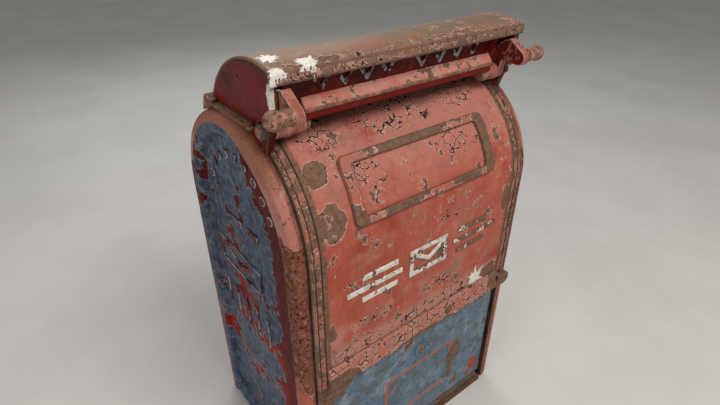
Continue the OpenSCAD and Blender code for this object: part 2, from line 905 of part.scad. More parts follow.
module base_leaf() {
    color("dimgray") place() difference() {
        union() {
            knuckle_row(0);
            for (i = [0 : 2 : knuckles - 1])
                block([knuckle_edge(i) + knuckle_gap / 2, hinge_y - 1.5, base_t + 0.05],
                    [knuckle_edge(i + 1) - knuckle_gap / 2, hinge_y + 1.5, hinge_z - 1]);
            block([knuckle_edge(0), hinge_y - 1.5, base_t + 0.05],
                [knuckle_edge(knuckles), hinge_y + 24, base_t + 0.05 + leaf_t]);
        }
        knuckle_bore();
    }
}

module hinge_pin() {
    color("silver") place()
        rod_x(knuckle_edge(0) - 2, knuckle_edge(knuckles) + 2, hinge_y, hinge_z, hinge_r);
}

side_left();
side_right();
side_marks_left();
side_marks_right();
edge_strip_left();
edge_strip_right();
front_sheet();
back_sheet();
drip_rail();
card_frame();
card_plate();
front_marks();
base_plate();
mount_strap_upper();
mount_strap_lower();
door_header();
strike_plate();
hood_shell();
hood_cheek_left();
hood_cheek_right();
hood_base();
pivot_bracket_left();
pivot_bracket_right();
pivot_pin_left();
pivot_pin_right();
pivot_nut_left();
pivot_nut_right();
hood_bolts();
stop_buffers();
flap_plate();
flap_marks();
flap_ledge();
flap_tray();
counterweight();
ear_left();
ear_right();
knob_left();
knob_right();
door_panel();
door_leaf();
base_leaf();
hinge_pin();
lock_ring();
lock_plug();
lock_case();
lock_cover();
lock_bolt();
lock_screws();
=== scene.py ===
# %% [markdown]
# # An old letter box, painted and weathered
#
# A kerbside letter box is two iron castings with sheet metal rolled over them. This lesson gives the
# measured model its looks: the softened edges of sand castings, the layers of paint that have been
# brushed on over the years, and the wear that takes them off again. The sizes and the moving bodies come
# from the frame, so nothing here has to be fitted or moved.

# %% Load the frame
import json
import math

import bmesh
import bpy
from mathutils import Euler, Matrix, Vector, noise


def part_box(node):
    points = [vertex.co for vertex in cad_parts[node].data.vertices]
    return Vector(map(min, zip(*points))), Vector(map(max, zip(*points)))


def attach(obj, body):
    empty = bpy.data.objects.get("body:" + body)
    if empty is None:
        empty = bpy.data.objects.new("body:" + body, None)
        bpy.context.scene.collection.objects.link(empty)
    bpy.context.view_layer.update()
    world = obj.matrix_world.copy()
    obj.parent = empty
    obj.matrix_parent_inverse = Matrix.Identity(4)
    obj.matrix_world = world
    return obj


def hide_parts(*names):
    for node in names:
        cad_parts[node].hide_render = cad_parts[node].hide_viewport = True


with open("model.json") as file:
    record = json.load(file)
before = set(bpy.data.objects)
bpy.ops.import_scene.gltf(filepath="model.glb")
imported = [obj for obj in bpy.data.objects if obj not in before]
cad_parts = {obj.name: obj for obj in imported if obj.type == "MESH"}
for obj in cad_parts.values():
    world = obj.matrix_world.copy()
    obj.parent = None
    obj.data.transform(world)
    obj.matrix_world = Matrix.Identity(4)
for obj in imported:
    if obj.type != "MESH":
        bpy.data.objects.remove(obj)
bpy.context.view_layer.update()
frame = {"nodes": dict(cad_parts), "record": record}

# %% [markdown]
# ## Where things are
#
# The wear has to land on real places: the rim's shoulder, the middle of the door, the lower edge of the
# front sheet. Some of those are worked out from the boxes of the parts, and the rest are given as numbers.
# The side castings are a straight-sided shape under a half circle, so their box alone gives the circle's
# radius and centre.

# %% Landmarks
side_low, side_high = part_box("side_left")
ARCH_R = (side_high.y - side_low.y) / 2
ARCH_Y = (side_high.y + side_low.y) / 2
SPRING_Z = side_high.z - ARCH_R
FRONT_Y = side_low.y
FIELD_X = -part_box("side_marks_left")[1].x
RIM_BAND = 0.028
SHEET_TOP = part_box("front_sheet")[1].z
RAIL_LOW, RAIL_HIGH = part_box("drip_rail")
DOOR_LOW, DOOR_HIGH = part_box("door_panel")
HOOD_LOW, HOOD_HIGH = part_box("hood_shell")
CARD_LOW, CARD_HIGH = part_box("card_frame")
print(f"arch radius {ARCH_R * 1000:.0f} mm about y {ARCH_Y * 1000:.0f}, z {SPRING_Z * 1000:.0f} mm")

# %% [markdown]
# ## The camera
#
# The camera stands high at the box's front left and looks down across it. A short lens that close makes
# the uprights lean together, which is why the place matters as much as the direction.

# %% Camera
camera = bpy.data.objects.new("camera", bpy.data.cameras.new("camera"))
camera.location = (-0.35374, -0.44789, 0.70039)
camera.rotation_euler = Euler((math.radians(58.952), 0, math.radians(-37.966)))
camera.data.lens = 24.445
camera.data.sensor_width = 36
camera.data.clip_start = 0.01
bpy.context.scene.collection.objects.link(camera)
bpy.context.scene.camera = camera
print("camera", [round(c, 3) for c in camera.location])

# %% [markdown]
# ## Building shaders in few words
#
# A weathered finish takes dozens of shader nodes. Wiring each by hand hides the idea, so a few helpers
# carry the work: one adds a node and feeds it, one does arithmetic, and one turns a value into a soft
# threshold. Colours are given as they look on a screen, and are turned into the linear light that
# the shader counts in.

# %% Node helpers
def paint(red, green, blue):
    """A colour as it looks on screen, 0 to 255, as linear light."""
    return tuple((c / 255) ** 2.2 for c in (red, green, blue)) + (1.0,)


def feed(tree, node, inputs):
    """Links each socket given, and sets each plain value on the input itself."""
    for key, value in inputs.items():
        if isinstance(value, bpy.types.NodeSocket):
            tree.links.new(value, node.inputs[key])
        else:
            node.inputs[key].default_value = value


def add(tree, kind, inputs=None, out=0, **settings):
    """Adds a node, sets it up, feeds it and gives back one of its outputs."""
    node = tree.nodes.new(kind)
    for key, value in settings.items():
        setattr(node, key, value)
    feed(tree, node, inputs or {})
    return node.outputs[out]


def maths(tree, operation, first, second=0.0, third=0.0):
    return add(tree, "ShaderNodeMath", {0: first, 1: second, 2: third}, operation=operation)


def vectors(tree, operation, first, second=(0, 0, 0), out=0):
    return add(tree, "ShaderNodeVectorMath", {0: first, 1: second}, out, operation=operation)


def ease(tree, value, low, high):
    """Rises smoothly from 0 at low to 1 at high."""
    return add(tree, "ShaderNodeMapRange", {0: value, 1: low, 2: high}, interpolation_type="SMOOTHSTEP")


def grain(tree, place, size, detail=4.0, rough=0.55, seed=0.0, out=0):
    """Noise whose features are about size metres across."""
    return add(tree, "ShaderNodeTexNoise",
               {"Vector": place, "W": seed, "Scale": size, "Detail": detail, "Roughness": rough},
               out, noise_dimensions="4D")


# %% [markdown]
# ## Effects that many finishes share
#
# Lost paint, crazing, stains and splashes turn up on nearly every piece, each time with
# other sizes. A shader node group is the right home for such an effect: it is built once, and each
# material places it with its own values. The groups give out only masks and heights. The colours, and
# the shader itself, stay in the materials.

# %% A maker of node groups
NUMBER, ARROW = "NodeSocketFloat", "NodeSocketVector"


def effect(name, needs, gives, build):
    """A node group: needs is {input: default}, gives the outputs, build returns {output: socket}."""
    tree = bpy.data.node_groups.new(name, "ShaderNodeTree")
    for label, value in needs.items():
        kind = NUMBER if isinstance(value, float) else ARROW
        tree.interface.new_socket(label, in_out="INPUT", socket_type=kind).default_value = value
    for label in gives:
        tree.interface.new_socket(label, in_out="OUTPUT", socket_type=NUMBER)
    given = tree.nodes.new("NodeGroupInput").outputs
    result = tree.nodes.new("NodeGroupOutput").inputs
    for label, socket in build(tree, given).items():
        tree.links.new(socket, result[label])
    print("effect:", name, "with", len(tree.nodes), "nodes")
    return tree


# %% [markdown]
# Old paint doesn't leave in round spots. It breaks along a network of fine cracks, so the edge of a bare
# place is ragged and a little angular. Noise alone looks like cloud, and cells alone look like tiles. The
# sum of the two has the right edge. A second, slightly wider threshold gives the lip, where the coat
# has curled and caught the light.

# %% Lost paint
def lost_paint(tree, given):
    place, scale = given["Place"], maths(tree, "DIVIDE", 1.0, given["Size"])
    cloud = grain(tree, place, scale, 9.0, 0.62, given["Seed"])
    cells = add(tree, "ShaderNodeTexVoronoi",
                {"Vector": place, "Scale": maths(tree, "MULTIPLY", scale, 3.1), "Detail": 2.0})
    field = maths(tree, "MULTIPLY_ADD", cells, 0.16, cloud)
    level = maths(tree, "MULTIPLY_ADD", given["Loss"], -0.5, 0.86)
    depth = maths(tree, "SUBTRACT", field, level)
    lost = ease(tree, depth, -0.008, 0.008)
    lip = maths(tree, "SUBTRACT", ease(tree, depth, -0.045, -0.012), lost)
    return {"Lost": lost, "Lip": maths(tree, "MAXIMUM", lip, 0.0)}


LOST_PAINT = effect("Lost paint", {"Place": (0, 0, 0), "Size": 0.02, "Loss": 0.5, "Seed": 0.0},
                    ["Lost", "Lip"], lost_paint)

# %% [markdown]
# Crazing is the net of short cracks in thick, brittle paint. The borders between cells make the net, and
# two things make it natural: the cells are pushed about before they are drawn, and a coarser noise
# wipes most of the lines away, so that each crack starts and stops.

# %% Crazing
def crazing(tree, given):
    place, scale = given["Place"], maths(tree, "DIVIDE", 1.0, given["Size"])
    push = grain(tree, place, maths(tree, "MULTIPLY", scale, 1.3), 3.0, out="Color")
    push = vectors(tree, "SUBTRACT", push, (0.5, 0.5, 0.5))
    push = add(tree, "ShaderNodeVectorMath", {0: push, "Scale": given["Size"]}, operation="SCALE")
    net = add(tree, "ShaderNodeTexVoronoi", {"Vector": vectors(tree, "ADD", place, push), "Scale": scale},
              feature="DISTANCE_TO_EDGE")
    broken = grain(tree, place, maths(tree, "MULTIPLY", scale, 0.9), 3.0, 0.6, 5.0)
    level = maths(tree, "MULTIPLY_ADD", given["Spread"], -0.5, 0.78)
    keep = ease(tree, maths(tree, "SUBTRACT", broken, level), -0.02, 0.09)
    line = ease(tree, maths(tree, "SUBTRACT", maths(tree, "MULTIPLY", keep, 0.052), net), -0.010, 0.010)
    lip = ease(tree, maths(tree, "SUBTRACT", maths(tree, "MULTIPLY", keep, 0.13), net), -0.02, 0.03)
    lip = maths(tree, "MULTIPLY", lip, keep)
    return {"Crack": line, "Lip": maths(tree, "MAXIMUM", maths(tree, "SUBTRACT", lip, line), 0.0)}


CRAZING = effect("Crazing", {"Place": (0, 0, 0), "Size": 0.01, "Spread": 0.5}, ["Crack", "Lip"], crazing)

# %% [markdown]
# A stain or a worn spot has a known place. The distance from its middle, measured in its own reach along
# each axis, is 1 at its edge. Noise added to that distance frays the edge.

# %% Spots
def spot(tree, given):
    way = vectors(tree, "DIVIDE", vectors(tree, "SUBTRACT", given["Place"], given["Centre"]), given["Reach"])
    far = vectors(tree, "LENGTH", way, out="Value")
    ragged = maths(tree, "SUBTRACT", grain(tree, given["Place"], 70.0, 7.0, 0.62), 0.5)
    edge = maths(tree, "MULTIPLY_ADD", ragged, given["Fray"], far)
    inside = maths(tree, "SUBTRACT", 1.0, edge)
    return {"Mask": ease(tree, inside, -0.03, 0.03), "Lip": ease(tree, inside, -0.16, -0.04),
            "Fade": ease(tree, inside, 0.0, 0.9)}


SPOT = effect("Spot", {"Place": (0, 0, 0), "Centre": (0, 0, 0), "Reach": (0.01, 0.01, 0.01), "Fray": 1.6},
              ["Mask", "Lip", "Fade"], spot)

# %% [markdown]
# A drop of paint that lands hard bursts into a star. Its edge depends on direction only, so the noise is
# read on the unit vector from the drop's middle, and its highest places become the rays.

# %% Splashes
def splash(tree, given):
    way = vectors(tree, "SUBTRACT", given["Place"], given["Centre"])
    far = vectors(tree, "LENGTH", way, out="Value")
    rays = grain(tree, vectors(tree, "NORMALIZE", way), 3.4, 2.0, 0.5, given["Seed"])
    rays = maths(tree, "POWER", ease(tree, rays, 0.36, 0.78), 1.6)
    reach = maths(tree, "MULTIPLY", given["Size"], maths(tree, "MULTIPLY_ADD", rays, 0.95, 0.55))
    share = maths(tree, "DIVIDE", far, reach)
    return {"Mask": maths(tree, "SUBTRACT", 1.0, ease(tree, share, 0.93, 1.03))}


SPLASH = effect("Splash", {"Place": (0, 0, 0), "Centre": (0, 0, 0), "Size": 0.01, "Seed": 0.0},
                ["Mask"], splash)

# %% [markdown]
# Sharp corners on machined parts wear first. Where a part is a plain solid with hard edges, the
# Bevel node answers how near an edge is: it gives the normal of a rounded edge, and the more that differs
# from the true one, the nearer the edge. Grain breaks the mask up.

# %% Edge wear
def edge_wear(tree, given):
    place = add(tree, "ShaderNodeTexCoord", out="Object")
    rounded = add(tree, "ShaderNodeBevel", {"Radius": given["Reach"]}, samples=4)
    true = add(tree, "ShaderNodeNewGeometry", out="Normal")
    turn = maths(tree, "SUBTRACT", 1.0, vectors(tree, "DOT_PRODUCT", rounded, true, out="Value"))
    broken = grain(tree, place, 260.0, 5.0, 0.65)
    value = maths(tree, "MULTIPLY_ADD", turn, 3.0, maths(tree, "MULTIPLY", broken, 0.7))
    return {"Mask": ease(tree, value, 0.5, 0.72)}


EDGE_WEAR = effect("Edge wear", {"Reach": 0.0015}, ["Mask"], edge_wear)

# %% [markdown]
# Sand castings are never flat. A slow swell, a finer pitting and a fine grit are added up as a height in
# metres, which a Bump node can use as it is.

# %% Cast skin
def cast_skin(tree, given):
    place = given["Place"]
    swell = maths(tree, "MULTIPLY", grain(tree, place, 110.0, 3.0, 0.5), given["Swell"])
    pitting = maths(tree, "MULTIPLY", grain(tree, place, 520.0, 5.0, 0.65, 3.0), given["Pitting"])
    return {"Height": maths(tree, "ADD", swell, pitting)}


CAST_SKIN = effect("Cast skin", {"Place": (0, 0, 0), "Swell": 0.0004, "Pitting": 0.0002},
                   ["Height"], cast_skin)

# %% [markdown]
# ## A finish, laid on in coats
#
# A painter works from the metal outwards, and so does this class. A finish starts as one colour. Each
# call to `lay` puts something over it through a mask, and may change the colour, the roughness and the
# height there. `done` wires the result to the shader.

# %% The finish
GLOSS = 0.22  # old paint and rust mirror less of the sky than new paint's 0.5


class Finish:
    def __init__(self, name, colour, rough=0.5):
        self.material = bpy.data.materials.new(name)
        self.material.use_nodes = True
        self.tree = self.material.node_tree
        self.place = add(self.tree, "ShaderNodeTexCoord", out="Object")
        self.colour, self.rough, self.height = colour, rough, 0.0
        axes = add(self.tree, "ShaderNodeSeparateXYZ", {0: self.place}).node.outputs
        self.x, self.y, self.z = axes

    def group(self, group, out, **inputs):
        """Places a node group on this finish's coordinates and gives back the outputs named."""
        node = self.tree.nodes.new("ShaderNodeGroup")
        node.node_tree = group
        feed(self.tree, node, {"Place": self.place, **inputs} if "Place" in node.inputs else inputs)
        return [node.outputs[label] for label in out]

    def maths(self, operation, first, second=0.0, third=0.0):
        return maths(self.tree, operation, first, second, third)

    def ease(self, value, low, high):
        return ease(self.tree, value, low, high)

    def most(self, *masks):
        """The union of several masks."""
        whole = masks[0]
        for mask in masks[1:]:
            whole = self.maths("MAXIMUM", whole, mask)
        return whole

    def both(self, *masks):
        """Where all the masks meet."""
        whole = masks[0]
        for mask in masks[1:]:
            whole = self.maths("MULTIPLY", whole, mask)
        return whole

    def grain(self, size, detail=4.0, rough=0.55, seed=0.0, stretch=(1, 1, 1)):
        """Noise with features of size metres; stretch draws it out along an axis."""
        place = self.place
        if stretch != (1, 1, 1):
            scale = tuple(1 / s for s in stretch)
            place = add(self.tree, "ShaderNodeMapping", {"Vector": place, "Scale": scale})
        return grain(self.tree, place, 1 / size, detail, rough, seed)

    def worn(self, low=0.25, high=0.6):
        """Where a casting's edges stick out, from the attribute that its shaping left on the mesh."""
        edge = add(self.tree, "ShaderNodeAttribute", out="Fac", attribute_name="edge")
        broken = self.maths("MULTIPLY_ADD", self.grain(0.006, 6.0, 0.65, 2.0), 0.9, -0.45)
        return self.ease(self.maths("ADD", edge, broken), low, high)

    def sunk_dirt_and_shade(self, low=0.2, high=0.7):
        """Where a casting's corners turn inwards: the mask for dirt and painted shade in those corners."""
        edge = add(self.tree, "ShaderNodeAttribute", out="Fac", attribute_name="nook")
        return self.ease(edge, low, high)

    def lay(self, mask, colour=None, rough=None, rise=None):
        if colour is not None:
            self.colour = add(self.tree, "ShaderNodeMix", {0: mask, 6: self.colour, 7: colour}, 2,
                              data_type="RGBA")
        if rough is not None:
            self.rough = add(self.tree, "ShaderNodeMix", {0: mask, 2: self.rough, 3: rough}, 0)
        if rise is not None:
            self.height = self.maths("MULTIPLY_ADD", mask, rise, self.height)
        return self

    def mottle(self, colour, size, low=0.42, high=0.62, seed=0.0, stretch=(1, 1, 1), rough=None):
        """Lets another tone through in clouds of the given size."""
        return self.lay(self.ease(self.grain(size, 6.0, 0.6, seed, stretch), low, high), colour, rough)

    def skin(self, swell=0.0004, pitting=0.0002):
        height, = self.group(CAST_SKIN, ["Height"], Swell=swell, Pitting=pitting)
        self.height = self.maths("ADD", height, self.height)
        return self

    def craze(self, size, spread, where, dark, pale):
        """Cracks with dark bottoms and pale, lifted lips, where the mask allows them; the pale lips are a
        painted highlight.
        """
        crack, lip = self.group(CRAZING, ["Crack", "Lip"], Size=size, Spread=spread)
        self.lay(self.both(lip, where), pale, 0.6, 0.00015)
        return self.lay(self.both(crack, where), dark, 0.85, -0.00035)

    def strip(self, lost, lip, bare, pale, film=0.00035, rough=0.82):
        """Takes the coat off down to a bare finish and lifts its lip round the place; the pale lip is a
        painted highlight.
        """
        self.lay(lip, pale, 0.55, film * 0.4)
        self.lay(lost, bare, rough, -film)
        # A thin dark line round each bare place: painted shadow along the broken edge of the coat.
        outline = self.both(lost, self.maths("SUBTRACT", 4.0, self.maths("MULTIPLY", lost, 4.0)))
        return self.lay(outline, CRACK_AND_SHADE)

    def bare_inside(self, mask):
        """The inside of the box was never painted: dull brown, with patches of soot."""
        self.lay(mask, paint(70, 54, 45), 0.85)
        soot = self.ease(self.grain(0.03, 6.0, 0.6, 31.0), 0.4, 0.65)
        return self.lay(self.both(mask, soot), paint(44, 35, 31))

    def spots(self, spots, fray=1.6):
        """The union of several placed spots: their masks and their lips."""
        found = [self.group(SPOT, ["Mask", "Lip"], Centre=c, Reach=r, Fray=fray) for c, r in spots]
        mask, lip = (self.most(*each) for each in zip(*found))
        return mask, self.maths("MAXIMUM", self.maths("SUBTRACT", lip, mask), 0.0)

    def done(self, metallic=0.0):
        shader = self.tree.nodes["Principled BSDF"]
        normal = add(self.tree, "ShaderNodeBump", {"Height": self.height, "Distance": 1.0})
        feed(self.tree, shader, {"Base Color": self.colour, "Roughness": self.rough, "Normal": normal})
        shader.inputs["Metallic"].default_value = metallic
        shader.inputs["Specular IOR Level"].default_value = GLOSS
        print("finish:", self.material.name, "with", len(self.tree.nodes), "nodes")
        return self.material


# %% [markdown]
# ## What lies under the paint
#
# Where the paint is gone there is brown, lightly rusted metal with remains of an older grey-blue coat.
# That mixture is the same on every piece, so one function makes it as a colour for any finish.

# %% Bare metal
CORAL, CORAL_DEEP, PINK = paint(180, 96, 78), paint(164, 76, 58), paint(180, 124, 110)
# CRACK_AND_SHADE is the dark of the cracks, and also painted shade in the sunk corners and round bare
# places.
LIP_HIGHLIGHT, CRACK_AND_SHADE, SHALLOW_CRACK = paint(192, 148, 134), paint(52, 28, 22), paint(78, 46, 37)
TAUPE, UMBER, TAN = paint(126, 97, 80), paint(86, 60, 46), paint(140, 102, 76)
OLD_BLUE, RUST = paint(86, 98, 108), paint(150, 78, 40)
DEEP_RED = paint(104, 20, 11)


def bare_metal(finish, base=TAUPE, dark=paint(98, 72, 58), blue=0.70, rust=0.64):
    """Brown metal: two browns, scraps of old grey-blue paint and specks of rust."""
    tree, colour = finish.tree, base
    coats = [(dark, finish.ease(finish.grain(0.005, 8.0, 0.7, 11.0), 0.38, 0.66)),
             (OLD_BLUE, finish.ease(finish.grain(0.011, 5.0, 0.6, 13.0), blue, blue + 0.04)),
             (RUST, finish.ease(finish.grain(0.009, 6.0, 0.6, 17.0), rust, rust + 0.08))]
    for over, mask in coats:
        colour = add(tree, "ShaderNodeMix", {0: mask, 6: colour, 7: over}, 2, data_type="RGBA")
    return colour


# %% [markdown]
# ## Which side of the arch
#
# The box's side view is a straight wall under a half circle, and one formula gives the distance in from
# that outline at any height. It tells the rim from the field, and the inside of a sheet from its outside.

# %% Distance in from the arch
def inset(finish):
    """How far a point lies inside the arch's outline, in metres."""
    above = finish.maths("MAXIMUM", finish.maths("SUBTRACT", finish.z, SPRING_Z), 0.0)
    across = finish.maths("SUBTRACT", finish.y, ARCH_Y)
    squares = finish.maths("MULTIPLY_ADD", across, across, finish.maths("MULTIPLY", above, above))
    return finish.maths("SUBTRACT", ARCH_R, finish.maths("SQRT", squares))


# %% [markdown]
# ## The rolled front sheet
#
# The sheet carries the main colour: a coral red, faded and with a chalky pink painted highlight where the
# curve faces the sky.
# It was brushed on in upright strokes. The paint is lost in a few places near the left seam, crazed
# over the curve and round the card, and broken like alligator skin just above the rail.

# %% Sheet paint
WHERE_BARE = [
    ((-0.133, -0.094, 0.481), (0.014, 0.014, 0.012)), ((-0.132, -0.122, 0.438), (0.017, 0.02, 0.018)),
    ((-0.104, -0.124, 0.417), (0.004, 0.006, 0.006)), ((-0.060, -0.126, 0.318), (0.004, 0.006, 0.004)),
    ((0.135, -0.126, 0.256), (0.020, 0.02, 0.013)), ((0.022, -0.126, 0.338), (0.006, 0.006, 0.008)),
    ((0.140, -0.126, 0.372), (0.006, 0.02, 0.018)), ((-0.140, -0.126, 0.300), (0.005, 0.02, 0.012)),
    ((0.118, -0.060, 0.492), (0.006, 0.008, 0.006)),
]
WHERE_CRAZED = [
    ((-0.080, -0.110, 0.465), (0.030, 0.040, 0.030)), ((0.062, -0.104, 0.470), (0.046, 0.040, 0.016)),
    ((-0.010, -0.063, 0.507), (0.070, 0.050, 0.020)), ((0.090, -0.050, 0.512), (0.050, 0.050, 0.020)),
    ((-0.110, -0.060, 0.508), (0.030, 0.040, 0.020)), ((0.037, -0.126, 0.388), (0.022, 0.02, 0.010)),
    ((0.000, -0.126, 0.335), (0.045, 0.02, 0.014)), ((-0.078, -0.126, 0.292), (0.030, 0.02, 0.012)),
    ((-0.115, -0.126, 0.352), (0.014, 0.02, 0.008)), ((0.020, -0.126, 0.290), (0.035, 0.02, 0.010)),
]


def sheet_paint():
    finish = Finish("sheet_paint_coral", CORAL, 0.5)
    finish.mottle(CORAL_DEEP, 0.09, 0.40, 0.62, 1.0)
    finish.mottle(PINK, 0.05, 0.52, 0.72, 2.0)
    # Paler pink over the top of the curve: fading, and a painted highlight.
    faded_and_lit_top = finish.ease(finish.z, SPRING_Z, SHEET_TOP - 0.01)
    finish.lay(faded_and_lit_top, paint(176, 114, 101), 0.6)
    finish.mottle(paint(146, 104, 86), 0.04, 0.52, 0.72, 4.0)
    finish.mottle(paint(150, 58, 42), 0.07, 0.54, 0.72, 5.0)
    strokes = finish.grain(0.0016, 3.0, 0.5, 6.0, (1, 1, 30))
    finish.lay(finish.ease(strokes, 0.56, 0.80), paint(186, 116, 100), 0.45, 0.00005)
    finish.lay(finish.ease(strokes, 0.44, 0.20), paint(150, 76, 60), rise=-0.00003)
    above_rail = finish.both(finish.ease(finish.z, RAIL_HIGH.z + 0.030, RAIL_HIGH.z + 0.012),
                             finish.ease(finish.y, -0.06, -0.10))
    finish.lay(above_rail, PINK, 0.65)
    finish.craze(0.0105, 0.70, above_rail, SHALLOW_CRACK, LIP_HIGHLIGHT)
    zones = [finish.group(SPOT, ["Fade"], Centre=c, Reach=r, Fray=1.0)[0] for c, r in WHERE_CRAZED]
    finish.craze(0.0105, 0.66, finish.ease(finish.most(*zones), 0.02, 0.2), CRACK_AND_SHADE, LIP_HIGHLIGHT)
    finish.craze(0.013, 0.12, 1.0, CRACK_AND_SHADE, LIP_HIGHLIGHT)
    bare = bare_metal(finish)
    finish.strip(*finish.spots(WHERE_BARE), bare, LIP_HIGHLIGHT)
    lost, lip = finish.group(LOST_PAINT, ["Lost", "Lip"], Size=0.03, Loss=0.15)
    finish.strip(lost, lip, bare, LIP_HIGHLIGHT)
    finish.lay(finish.worn(0.3, 0.5), bare, 0.8, -0.0002)
    # Darker in the sunk corners: dirt and painted shade.
    finish.lay(finish.sunk_dirt_and_shade(0.35, 0.8), CRACK_AND_SHADE, 0.9)
    star, = finish.group(SPLASH, ["Mask"], Centre=(0.101, FRONT_Y - 0.002, 0.256), Size=0.017, Seed=2.0)
    finish.lay(star, paint(232, 226, 214), 0.45, 0.0003)
    finish.bare_inside(finish.ease(inset(finish), -0.0010, -0.0005))
    return finish.skin(0.0003, 0.00005).done()


# %% [markdown]
# ## The rail, the card frame and the seam strips
#
# These thinner pieces have taken more knocks. The rail is crazed all over and brown at both ends, the card
# frame has lost its paint in patches, and the strips over the seams are about half bare.

# %% Rail, frame and strip paint
def trim_paint(name, loss, size, spots, edge, base=PINK, blue=0.70, craze=0.5, cell=0.007):
    """Pink paint that has come off trim: loss is the share gone, edge where the wear starts."""
    finish = Finish(name, base, 0.55)
    finish.mottle(CORAL, 0.03, 0.42, 0.6, 1.0)
    finish.mottle(paint(160, 118, 100), 0.02, 0.5, 0.7, 3.0)
    finish.craze(cell, craze, 1.0, SHALLOW_CRACK, LIP_HIGHLIGHT)
    bare = bare_metal(finish, blue=blue)
    lost, lip = finish.group(LOST_PAINT, ["Lost", "Lip"], Size=size, Loss=loss, Seed=4.0)
    finish.strip(lost, lip, bare, LIP_HIGHLIGHT)
    if spots:
        finish.strip(*finish.spots(spots), bare, LIP_HIGHLIGHT)
    finish.lay(finish.worn(edge, edge + 0.2), bare, 0.8, -0.0002)
    # Darker in the sunk corners: dirt and painted shade.
    finish.lay(finish.sunk_dirt_and_shade(0.25, 0.7), CRACK_AND_SHADE, 0.9)
    return finish.skin(0.0004, 0.0002)


def rail_paint():
    left = (RAIL_LOW.x + 0.012, RAIL_LOW.y, RAIL_LOW.z + 0.006)
    spots = [(left, (0.034, 0.02, 0.012)), ((0.0, RAIL_LOW.y, RAIL_LOW.z + 0.002), (0.05, 0.012, 0.007)),
             ((0.154, RAIL_LOW.y, RAIL_LOW.z + 0.02), (0.026, 0.02, 0.03)),
             ((0.045, RAIL_LOW.y, RAIL_LOW.z + 0.016), (0.008, 0.02, 0.006))]
    finish = trim_paint("rail_paint_cracked", 0.12, 0.03, spots, 0.42, paint(172, 116, 104), craze=0.76,
                        cell=0.0105)
    return finish.done()


def frame_paint():
    mid_z = (CARD_LOW.z + CARD_HIGH.z) / 2
    spots = [((-0.005, -0.095, 0.488), (0.05, 0.02, 0.012)), ((-0.040, -0.128, 0.434), (0.034, 0.02, 0.010)),
             ((0.060, -0.128, 0.434), (0.024, 0.02, 0.010)),
             ((CARD_HIGH.x, -0.11, mid_z), (0.02, 0.05, 0.05)),
             ((CARD_LOW.x, -0.128, CARD_LOW.z), (0.016, 0.02, 0.03))]
    return trim_paint("frame_paint_worn", 0.26, 0.03, spots, 0.5, paint(160, 102, 88), 0.6, 0.4).done()


def strip_paint():
    finish = trim_paint("strip_paint_worn", 0.42, 0.014, [], 0.5, paint(148, 98, 84), 0.64, 0.6)
    # Darker still between the strip's ridges: dirt and painted shade.
    return finish.lay(finish.sunk_dirt_and_shade(0.1, 0.45), paint(58, 36, 28), 0.9).done()


# %% [markdown]
# ## The side castings
#
# Each side casting is one piece of iron with two colours on it. The rolled rim is red like the sheets,
# and its paint changes on the way up: smooth at the foot, rough with rust above that, smooth
# on the shoulder with a pink painted highlight there, brown over the top. The sunken field is navy blue over
# bright red.

# %% Side paint
NAVY, NAVY_PALE, BRIGHT_RED = paint(50, 58, 78), paint(84, 97, 116), paint(146, 24, 12)


def navy_field(finish, within):
    """Navy paint over red: worn off beside the front rim, and in scattered patches elsewhere. The red beside
    the front rim is kept dark as painted shade from the rim.
    """
    tree = finish.tree
    blue = add(tree, "ShaderNodeMix", {0: finish.ease(finish.grain(0.012, 7.0, 0.65, 21.0), 0.4, 0.62),
                                       6: NAVY, 7: NAVY_PALE}, 2, data_type="RGBA")
    toward_front = finish.ease(finish.y, ARCH_Y, FRONT_Y + RIM_BAND)
    near_edge = finish.both(finish.ease(within, 0.085, 0.052), toward_front)
    low_down = finish.ease(finish.z, SPRING_Z, SPRING_Z - 0.1)
    # Bright red only away from the front rim: the red by the rim stays dark as painted shade.
    vivid = finish.both(finish.ease(finish.grain(0.02, 6.0, 0.6, 22.0), 0.38, 0.56), low_down,
                        finish.maths("SUBTRACT", 1.0, near_edge))
    red = add(tree, "ShaderNodeMix", {0: vivid, 6: paint(84, 17, 11), 7: BRIGHT_RED}, 2, data_type="RGBA")
    loss = finish.maths("MULTIPLY_ADD", near_edge, 0.66, 0.24)
    lost, lip = finish.group(LOST_PAINT, ["Lost", "Lip"], Size=0.05, Loss=loss, Seed=7.0)
    edge_at = finish.maths("MULTIPLY_ADD", toward_front, 0.014, RIM_BAND - 0.016)
    inside = finish.maths("SUBTRACT", within, edge_at)
    field = finish.ease(inside, 0.0, 0.003)
    finish.lay(field, blue, 0.5)
    streaks = finish.ease(finish.grain(0.0022, 4.0, 0.6, 24.0, (1, 1, 9)), 0.50, 0.68)
    finish.lay(finish.both(field, streaks), paint(100, 112, 128), 0.5)
    # The pale grey lip round lost navy is a painted highlight.
    finish.lay(finish.both(field, lip), paint(118, 122, 126), 0.6, 0.0002)
    finish.lay(finish.both(field, lost), red, 0.6, -0.0003)
    grit = finish.ease(finish.grain(0.0035, 6.0, 0.7, 23.0), 0.60, 0.70)
    return finish.lay(finish.both(field, grit), paint(26, 22, 28), 0.85, -0.0002)


